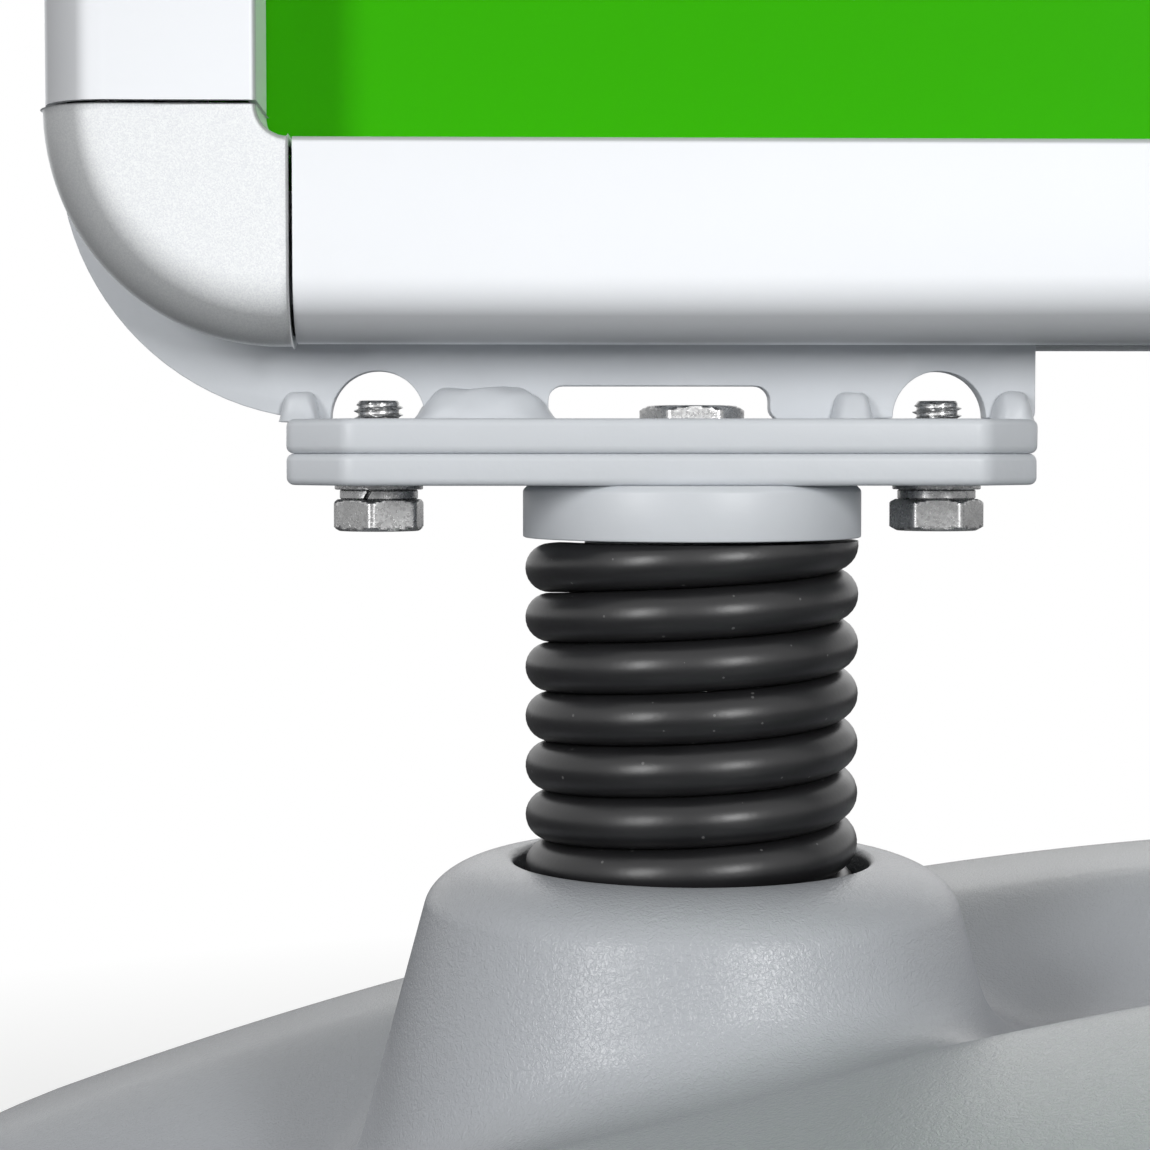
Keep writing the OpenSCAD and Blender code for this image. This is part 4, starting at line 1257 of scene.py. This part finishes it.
def thread_mesh(name, d, length, thread_from, pitch_share=0.15):
    """A shank with a helical thread up to its chamfered end."""
    pitch = d * pitch_share
    depth = pitch * 0.55
    steps = 48
    heights = [0.0, thread_from]
    heights += list(np.arange(thread_from + pitch / 8, length, pitch / 8)) + [length]
    rows = []
    for z in heights:
        row = []
        for i in range(steps):
            share = i / steps
            phase = (z / pitch - share) % 1.0
            groove = min(1.0, max(0.0, 1.25 - abs(phase - 0.5) * 4.2))
            r = d / 2 - depth * (1 - groove) * (1.0 if z > thread_from else 0.0)
            r = min(r, d / 2 - d * 0.11 + (length - z) * 0.8)
            row.append((r * math.cos(math.tau * share), r * math.sin(math.tau * share), z))
        rows.append(row)
    points = [p for row in rows for p in row]
    faces = grid_faces(len(rows), steps, wrap=True)
    faces.append(tuple(range(steps)))
    faces.append(tuple(range((len(rows) - 1) * steps, len(rows) * steps)))
    return mesh_of(name + "_shank", points, faces, 50.0)


def washer_section(ro, ri, t, e):
    """Section of a washer of thickness t whose edges are broken by e."""
    return [(ri, e), (ri + e, 0), (ro - e, 0), (ro, e), (ro, t - e), (ro - e, t), (ri + e, t), (ri, t - e)]


def flat_washer(name, d, hole, t):
    return lathe(name, washer_section(d / 2, hole / 2, t, t * 0.18), 72, 40.0)


def spring_washer(name, d, hole, t):
    """A split ring whose two ends stand a little apart."""
    steps = 80
    gap = math.radians(7)
    section = washer_section(d / 2, hole / 2, t, t * 0.14)
    points = []
    for i in range(steps + 1):
        share = i / steps
        a = gap / 2 + (math.tau - gap) * share
        skew = (share - 0.5) * t * 0.10
        for r, z in section:
            lean = (z / t - 0.5) * 0.0011 * (1 if share < 0.02 or share > 0.98 else 0)
            x = r * math.cos(a) - lean * math.sin(a)
            y = r * math.sin(a) + lean * math.cos(a)
            points.append((x, y, z * 0.97 + skew * 0.3 + 0.00002))
    faces = grid_faces(steps + 1, len(section), wrap=True)
    faces.append(tuple(range(len(section))))
    last = steps * len(section)
    faces.append(tuple(range(last, last + len(section))))
    return mesh_of(name, points, faces, 35.0)


def fastener_tree():
    """Puts a copy of a fastener on each point, turned by the point's own angle."""
    tree, s, gin, gout = geometry_tree("fastener_set", [
        ("Fastener", "NodeSocketObject", None), ("Size", "NodeSocketFloat", 1.0),
        ("Material", "NodeSocketMaterial", None),
    ])
    info = s.add("GeometryNodeObjectInfo", Object=gin.outputs["Fastener"])
    angle = s.add("GeometryNodeInputNamedAttribute", data_type="FLOAT_VECTOR", Name="turn")
    copies = s.add("GeometryNodeInstanceOnPoints", Points=gin.outputs["Geometry"],
                   Instance=info.outputs["Geometry"], Rotation=angle.outputs["Attribute"],
                   Scale=gin.outputs["Size"])
    end_tree(s, gin, gout, copies.outputs["Instances"])
    return tree


def fastener_set(name, tree, mesh, places, slot, body, node):
    """One piece from a fastener mesh and its places: (point, turn)."""
    points = bpy.data.meshes.new(name)
    points.from_pydata([p for p, _ in places], [], [])
    turns = points.attributes.new("turn", "FLOAT_VECTOR", "POINT")
    turns.data.foreach_set("vector", [c for _, t in places for c in t])
    source = link(name + "_one", mesh)
    piece = link(name, points)
    run_tree(piece, tree, {"Fastener": source, "Size": 1.0, "Material": material_for(slot)})
    bpy.data.objects.remove(source)
    bpy.data.meshes.remove(mesh)
    shade(piece.data, 28.0)
    place_piece(piece, body, slot, node)


def clamp_places(z, turns):
    reach = bpy.context.scene.sign_metal.bolt_reach
    mid = (high("foot_plate_right")[0] + low("foot_plate_right")[0]) / 2
    out = []
    for k, x in enumerate((-mid - reach, -mid + reach, mid - reach, mid + reach)):
        out.append(((x, 0.0, z), (0.0, 0.0, math.radians(turns[k]))))
    return out


class SIGN_OT_fasteners(bpy.types.Operator):
    """Fit the bolts, washers and rivets"""

    bl_idname = "sign.fasteners"
    bl_label = "Fasteners"

    def execute(self, context):
        tree = fastener_tree()

        def fit(name, mesh, places, body, node):
            fastener_set(name, tree, mesh, places, "zinc_steel", body, node)

        seat = low("clamp_spring_washers")[2]
        flat_z = low("clamp_flat_washers")[2]
        bolt = hex_bolt("m10", 0.010, 0.017, 0.0064, 0.020, 0.012)
        fit("clamp_bolt_set", bolt, clamp_places(seat, (23.0, 52.5, 11.0, 38.0)), "sign", "clamp_bolts")
        split = spring_washer("split", 0.0159, 0.0103, high("clamp_spring_washers")[2] - seat)
        split_places = clamp_places(seat, (-104.0, 160.0, 40.0, -60.0))
        fit("spring_washer_set", split, split_places, "sign", "clamp_spring_washers")
        flat = flat_washer("flat", 0.018, 0.0103, high("clamp_flat_washers")[2] - flat_z)
        fit("flat_washer_set", flat, clamp_places(flat_z, (0, 0, 0, 0)), "sign", "clamp_flat_washers")
        washer_low, washer_top = low("centre_washers")[2], high("centre_washers")[2]
        bolt = hex_bolt("m12", 0.012, 0.019, 0.0075, 0.035, 0.02)
        fit("centre_bolt_set", bolt, self.spring_places(washer_top, math.pi), "sign", "centre_bolts")
        flat = flat_washer("m12_flat", 0.024, 0.0124, washer_top - washer_low)
        fit("centre_washer_set", flat, self.spring_places(washer_low), "sign", "centre_washers")
        anchor_low = self.spring_places(low("anchor_washers")[2])
        reach = high("anchor_bolts")[2] - low("anchor_washers")[2]
        bolt = hex_bolt("m12_anchor", 0.012, 0.019, 0.0075, reach, 0.01)
        fit("anchor_bolt_set", bolt, anchor_low, "base", "anchor_bolts")
        flat = flat_washer("m12_low", 0.024, 0.0124, high("anchor_washers")[2] - low("anchor_washers")[2])
        fit("anchor_washer_set", flat, anchor_low, "base", "anchor_washers")
        self.rivets(tree)
        return {"FINISHED"}

    def spring_places(self, z, turn=0):
        """One place on the axis of each spring."""
        return [((x, 0, z), (turn, 0, 0)) for x in (-SPRING_X, SPRING_X)]

    def rivets(self, tree):
        """Domed rivets through the frame halves and the bars between them."""
        lo, hi = low("frame_rivets"), high("frame_rivets")
        half_y = hi[1]
        head_r = 0.00375
        body = BAR_T / 2 + 0.0016
        shank_r = 0.0024
        dome = [(0, -half_y), (0.0018, -half_y + 0.0001), (0.0031, -half_y + 0.0006)]
        outline = dome + [(head_r, -body), (shank_r, -body), (shank_r, body), (head_r, body)]
        outline += [(r, -y) for r, y in reversed(dome)]
        rivet = lathe("rivet", outline, 24, 40.0)
        edge_u = lo[0] + RAIL_OUT + head_r
        places = []
        for side in (-1, 1):
            for k in range(3):
                run = 0.105 + 0.055 * k
                near = side * (RAIL_OUT - edge_u)
                corner = side * (RAIL_OUT - run)
                places.append(((corner, 0, FRAME_Z + edge_u), (math.pi / 2, 0, 0)))
                places.append(((near, 0, FRAME_Z + run), (math.pi / 2, 0, 0)))
                places.append(((near, 0, FRAME_TOP - run), (math.pi / 2, 0, 0)))
        fastener_set("rivet_set", tree, rivet, places, "zinc_steel", "sign", "frame_rivets")


# Snap frame


def rail_outline(s, w):
    """Closed section of a snap rail of width w: u inward from the outer edge, v back from the face."""
    r, t, e = s.nose, s.wall, s.inner_edge
    end = 200.0
    outer = [(w, s.lip)]
    outer += bend(w - e, e, e, 0, 90, 7)
    outer += bend(r, r, r, 90, end, 34)
    inner = bend(r, r, r - t, end, 90, 24)
    inner += [(w - t, t), (w - t, s.lip)]
    return outer + inner


def claw_outline(s):
    """Section of the web and the claw that grips the profile's bead."""
    r, t = s.nose, s.wall
    inner_r, outer_r = 0.00208, 0.00368
    root = t * 0.98
    out = bend(r, r, outer_r, -55, 76, 16) + [(r + t / 2, root), (r - t / 2, root)]
    return out + bend(r, r, outer_r, 104, 150, 8) + bend(r, r, inner_r, 150, -55, 24)


def lower_place(length):
    """Puts section points on the front bottom rail."""
    return lambda u, v, t: (t * length / 2, -FACE_Y + v, FRAME_Z + u)


def left_place(length):
    """Puts section points on the front left rail."""
    mid = (FRAME_Z + FRAME_TOP) / 2
    return lambda u, v, t: (-RAIL_OUT + u, -FACE_Y + v, mid + t * length / 2)


def to_side(mesh, side, face):
    """Mirrors a front bottom or front left mesh to the named side and face."""
    flip = []
    offset = [0, 0, 0]
    if side == "right":
        flip.append(0)
    if face == "rear":
        flip.append(1)
    if side == "top":
        flip.append(2)
        offset[2] = FRAME_Z + FRAME_TOP
    return moved(mesh, offset, flip)


def corner_outline(s, w):
    """Section of a corner piece's shell of width w, a little proud of the rail's."""
    r, t, e, p = s.nose, s.wall, s.inner_edge, s.proud
    outer = [(w, s.lip)]
    outer += bend(w - e, e - p, e, 0, 90, 7)
    outer += [(w - e + (r - w + e) * k / 12, -p) for k in range(1, 12)]
    ro = r + p
    outer += bend(r, r, ro, 90, 246, 44)
    inner = bend(r, r, r - t, 246, 90, 32)
    inner += [(w - t, t), (w - t, s.lip)]
    return outer, inner


def corner_stations(s, turn, stretch):
    """Places along a corner piece: (angle, shift along the lower arm, soft inset, width at that place)."""
    soft = 0.0005
    angles = [(0.0, soft), (0.2, soft * 0.35), (0.8, 0.0)] + [(a, 0.0) for a in np.linspace(2.5, 90.0, 40)]
    places = [(a, 0.0, inset) for a, inset in angles]
    shifts = [(stretch * 0.4, 0.0), (stretch - soft, 0.0)]
    shifts += [(stretch - soft * 0.35, soft * 0.35), (stretch, soft)]
    places += [(90.0, shift, inset) for shift, inset in shifts]
    out = []
    for a, shift, inset in places:
        along = (stretch - shift) * math.cos(math.radians(a)) if shift == 0 else 0.0
        across = stretch - shift
        hole = math.sqrt(s.notch ** 2 - across ** 2 + along ** 2) - along
        out.append((math.radians(a), shift, inset, turn - hole))
    return out


def corner_mesh(s):
    """The lower left front corner: its shell turned through a quarter, with a notch and softened ends."""
    turn = CROSS_W + s.notch
    stretch = RAIL_W - CROSS_W
    cx = -RAIL_OUT + turn
    cz = FRAME_Z + turn
    points = []
    stations = corner_stations(s, turn, stretch)
    for a, shift, inset, width in stations:
        outer, inner = corner_outline(s, width)
        ring = outer + inner
        count = len(ring)
        for k, (u, v) in enumerate(ring):
            if inset and k < len(outer):
                before, after = ring[k - 1], ring[(k + 1) % count]
                tu, tv = after[0] - before[0], after[1] - before[1]
                size = math.hypot(tu, tv) or 1.0
                u, v = u - tv / size * inset, v + tu / size * inset
            radius = turn - u
            points.append((cx + shift - radius * math.cos(a), -FACE_Y + v, cz - radius * math.sin(a)))
    faces = grid_faces(len(stations), count, wrap=True)
    faces.append(tuple(range(count)))
    last = (len(stations) - 1) * count
    faces.append(tuple(range(last, last + count)))
    return mesh_of("corner", points, faces, 38.0)


def corner_tongues():
    """The two bars that plug a corner piece into its neighbouring profiles."""
    tip = high("front_corner_lower_left")
    near, wide, front, deep = 0.0226, 0.0076, 0.0156, 0.0058
    u0, u1 = -RAIL_OUT + near, -RAIL_OUT + near + wide
    y0, y1 = -FACE_Y + front, -FACE_Y + front + deep
    z0, z1 = FRAME_Z + near, FRAME_Z + near + wide
    return [box_mesh("tongue", (u0, y0, z0), (u1, y1, tip[2] - 0.0002)),
            box_mesh("tongue", (u1, y0, z0), (tip[0] - 0.0002, y1, z1))]


class SIGN_OT_snap_frame(bpy.types.Operator):
    """Build the snap rails and corner pieces, and dress the profiles under them"""

    bl_idname = "sign.snap_frame"
    bl_label = "Snap frame"

    def execute(self, context):
        s = context.scene.sign_frame
        silver = material_for("silver_rail")
        for face in ("front", "rear"):
            for side in ("left", "right", "top", "bottom"):
                node = f"{face}_rail_{side}"
                self.rail(s, side, face, node)
            for level in ("lower", "upper"):
                for side in ("left", "right"):
                    self.corner(s, face, level, side)
            for side in ("left", "right", "top", "bottom"):
                wear(NODES[f"{face}_profile_{side}"], silver)
        return {"FINISHED"}

    def rail(self, s, side, face, node):
        size = high(node) - low(node)
        upright = side in ("left", "right")
        length = size[2] if upright else size[0]
        place = left_place(length) if upright else lower_place(length)
        skin = extrude("skin", rail_outline(s, RAIL_W if upright else CROSS_W), place, 30.0)
        claw = extrude("claw", claw_outline(s), place, 30.0)
        piece = link(node + "_skin", join(node + "_skin", [skin, claw], 30.0))
        to_side(piece.data, side, face)
        place_piece(piece, node, "silver_rail", node)

    def corner(self, s, face, level, side):
        node = f"{face}_corner_{level}_{side}"
        shell = corner_mesh(s)
        piece = link(node + "_cap", join(node + "_cap", [shell] + corner_tongues(), 38.0))
        to_side(piece.data, "right" if side == "right" else "left", face)
        if level == "upper":
            moved(piece.data, (0, 0, FRAME_Z + FRAME_TOP), (2,))
        place_piece(piece, "sign", "silver_corner", node)


# Wheels, plug and feet


def wheel_mesh(width, radius, stub_r, stub_half):
    """A moulded wheel: a ribbed tread, a dished web and stub axles."""
    h = width / 2
    edge = 0.0006
    outline = [(0, -stub_half), (stub_r - edge, -stub_half), (stub_r, -stub_half + edge), (stub_r, -h * 0.62)]
    outline += [(0.011, -h * 0.62), (0.0115, -h * 0.58), (0.013, -h * 0.30), (radius - 0.011, -h * 0.30),
                (radius - 0.0095, -h * 0.36), (radius - 0.009, -h + 0.0006), (radius - 0.0082, -h)]
    outline += [(radius - 0.003, -h), (radius - 0.0010, -h + 0.0008), (radius, -h + 0.0032)]
    grooves, mouth, depth = 3, 0.0014, 0.0012
    for k in range(grooves):
        mid = -h + 0.0065 + (width - 0.013) * k / (grooves - 1)
        outline += [(radius, mid - mouth), (radius - depth, mid - edge)]
        outline += [(radius - depth, mid + edge), (radius, mid + mouth)]
    mirrored = [(r, -z) for r, z in reversed(outline[:14])]
    return lathe("wheel", outline + mirrored, 96, 32.0)


class SIGN_OT_base_fittings(bpy.types.Operator):
    """Build the wheels, the fill plug and the rubber feet"""

    bl_idname = "sign.base_fittings"
    bl_label = "Wheels, plug and feet"

    def execute(self, context):
        for side in ("left", "right"):
            node = "wheel_" + side
            lo, hi = low(node), high(node)
            centre = (lo + hi) / 2
            mesh = wheel_mesh(0.024, (hi[2] - lo[2]) / 2, 0.007, (hi[0] - lo[0]) / 2)
            co = np.empty(len(mesh.vertices) * 3)
            mesh.vertices.foreach_get("co", co)
            co = co.reshape(-1, 3)[:, [2, 0, 1]]
            mesh.vertices.foreach_set("co", co.ravel())
            moved(mesh, tuple(centre))
            place_piece(link(node + "_moulded", mesh), node, "wheel_plastic", node)
        plug = node_copy("fill_plug", "fill_plug_moulded", 0.0009, 3)
        place_piece(plug, "fill_plug", "plug_plastic", "fill_plug")
        feet = node_copy("rubber_feet", "rubber_foot_set", 0.0012, 3)
        place_piece(feet, "base", "black_rubber", "rubber_feet")
        return {"FINISHED"}


class SIGN_OT_poster(bpy.types.Operator):
    """Dress the posters, their clear sheets, the back panels and the hidden springs"""

    bl_idname = "sign.poster"
    bl_label = "Posters"

    def execute(self, context):
        for face in ("front", "rear"):
            wear(NODES[face + "_poster"], material_for("green_poster"))
            self.cover(face)
            wear(NODES[face + "_back_panel"], material_for("white_panel"))
            wear(NODES[face + "_snap_springs"], material_for("spring_steel"))
        return {"FINISHED"}

    def cover(self, face):
        """The clear sheet, which stands a hair off the poster."""
        node = face + "_cover_sheet"
        lo, hi = low(node), high(node)
        air = 0.00005
        lo[1], hi[1] = (lo[1], hi[1] - air) if face == "front" else (lo[1] + air, hi[1])
        piece = link(node + "_clear", box_mesh(node, lo, hi))
        bevel(piece, 0.00008, 1)
        place_piece(piece, "sign", "clear_sheet", node)


# Stage


def add_area(name, place, target, size, power):
    data = bpy.data.lights.new(name, "AREA")
    data.shape = "RECTANGLE"
    data.size, data.size_y = size
    data.energy = power
    lamp = bpy.data.objects.new(name, data)
    lamp.location = place
    lamp.rotation_euler = (Vector(target) - Vector(place)).to_track_quat("-Z", "Y").to_euler()
    bpy.context.scene.collection.objects.link(lamp)


class SIGN_OT_stage(bpy.types.Operator):
    """Set the camera, the lamps, the floor and the white background"""

    bl_idname = "sign.stage"
    bl_label = "Stage"

    def execute(self, context):
        view = context.scene.sign_view
        data = bpy.data.cameras.new("camera")
        data.lens = view.focal
        data.sensor_width = 36.0
        data.clip_start = 0.01
        camera = bpy.data.objects.new("camera", data)
        camera.location = view.place
        camera.rotation_euler = (math.pi / 2 + view.pitch, 0, view.yaw)
        context.scene.collection.objects.link(camera)
        context.scene.camera = camera
        context.scene.view_settings.view_transform = "Standard"
        self.world(context)
        self.floor()
        add_area("key_left", (-1.38, -1.43, 0.74), (-0.22, -0.05, 0.18), (0.34, 0.9), 16.5)
        add_area("key_right", (0.57, -1.67, 0.74), (-0.22, -0.05, 0.18), (0.30, 0.7), 18.0)
        add_area("top", (0, -0.3, 2.9), (0, 0, 0), (2.4, 2.4), 2)
        add_area("back", (0.3, 2.4, 1.2), (0, 0, 0.5), (2.0, 1.6), 5)
        return {"FINISHED"}

    def world(self, context):
        world = bpy.data.worlds.new("studio")
        world.use_nodes = True
        context.scene.world = world
        s = Sheet(world.node_tree)
        world.node_tree.nodes.clear()
        white = (1, 1, 1, 1)
        seen = s.add("ShaderNodeBackground", Color=white)
        lit = s.add("ShaderNodeBackground", Color=white, Strength=0.20)
        path = s.add("ShaderNodeLightPath").outputs
        clear = s.math("MAXIMUM", path["Is Transmission Ray"], path["Is Glossy Ray"])
        either = s.math("MAXIMUM", path["Is Camera Ray"], clear)
        mix = s.add("ShaderNodeMixShader", either, lit.outputs[0], seen.outputs[0])
        s.add("ShaderNodeOutputWorld", Surface=mix.outputs[0])

    def floor(self):
        """A pale floor that keeps the soft shadow near the base and turns white to the eye further out."""
        size = 12.0
        corners = [(-size, -size, 0), (size, -size, 0), (size, size, 0), (-size, size, 0)]
        mesh = mesh_of("floor", corners, [(0, 1, 2, 3)])
        piece = link("floor", mesh)
        white = (1, 1, 1, 1)
        material, s, bsdf = shader("pale_floor", Roughness=0.9, Specular_IOR_Level=0.1)
        far = s.add("ShaderNodeVectorMath", s.place(), operation="LENGTH")
        fade = ranged(s, far.outputs["Value"], 0.0, 1.0, 0.5, 0.85)
        seen = s.add("ShaderNodeLightPath").outputs["Is Camera Ray"]
        s.feed(blend_colour(s, seen, (0.22, 0.22, 0.23), (0.78, 0.78, 0.78)), bsdf.inputs["Base Color"])
        glow = s.add("ShaderNodeEmission", Color=white, Strength=ranged(s, seen, 0.0, 0.5))
        both = s.add("ShaderNodeAddShader", bsdf.outputs[0], glow.outputs[0])
        far_white = s.add("ShaderNodeEmission", Color=white)
        share = s.math("MULTIPLY", fade, seen)
        mix = s.add("ShaderNodeMixShader", share, both.outputs[0], far_white.outputs[0])
        out = next(n for n in material.node_tree.nodes if n.type == "OUTPUT_MATERIAL")
        s.feed(mix.outputs[0], out.inputs["Surface"])
        wear(piece, material)


class SIGN_PT_panel(bpy.types.Panel):
    """Lists the sign's pieces and sizes"""

    bl_idname = "SIGN_PT_panel"
    bl_label = "Pavement sign"
    bl_space_type = "VIEW_3D"
    bl_region_type = "UI"
    bl_category = "Sign"

    def draw(self, context):
        for operator in OPERATORS:
            self.layout.operator(operator.bl_idname)
        for name in PROPERTY_NAMES:
            box = self.layout.box()
            group = getattr(context.scene, name)
            for key in group.bl_rna.properties.keys():
                if key not in ("rna_type", "name"):
                    box.prop(group, key)


OPERATORS = (
    SIGN_OT_stage, SIGN_OT_base, SIGN_OT_springs, SIGN_OT_bracket, SIGN_OT_fasteners,
    SIGN_OT_snap_frame, SIGN_OT_base_fittings, SIGN_OT_poster,
)


def register():
    for item in GROUPS + OPERATORS + (SIGN_PT_panel,):
        bpy.utils.register_class(item)
    for name, group in zip(PROPERTY_NAMES, GROUPS):
        setattr(bpy.types.Scene, name, PointerProperty(type=group))


def unregister():
    for name in PROPERTY_NAMES:
        delattr(bpy.types.Scene, name)
    for item in reversed(GROUPS + OPERATORS + (SIGN_PT_panel,)):
        bpy.utils.unregister_class(item)


def main():
    register()
    bpy.ops.sign.stage()
    bpy.ops.sign.base()
    bpy.ops.sign.springs()
    bpy.ops.sign.bracket()
    bpy.ops.sign.fasteners()
    bpy.ops.sign.snap_frame()
    bpy.ops.sign.base_fittings()
    bpy.ops.sign.poster()


if __name__ == "__main__":
    main()
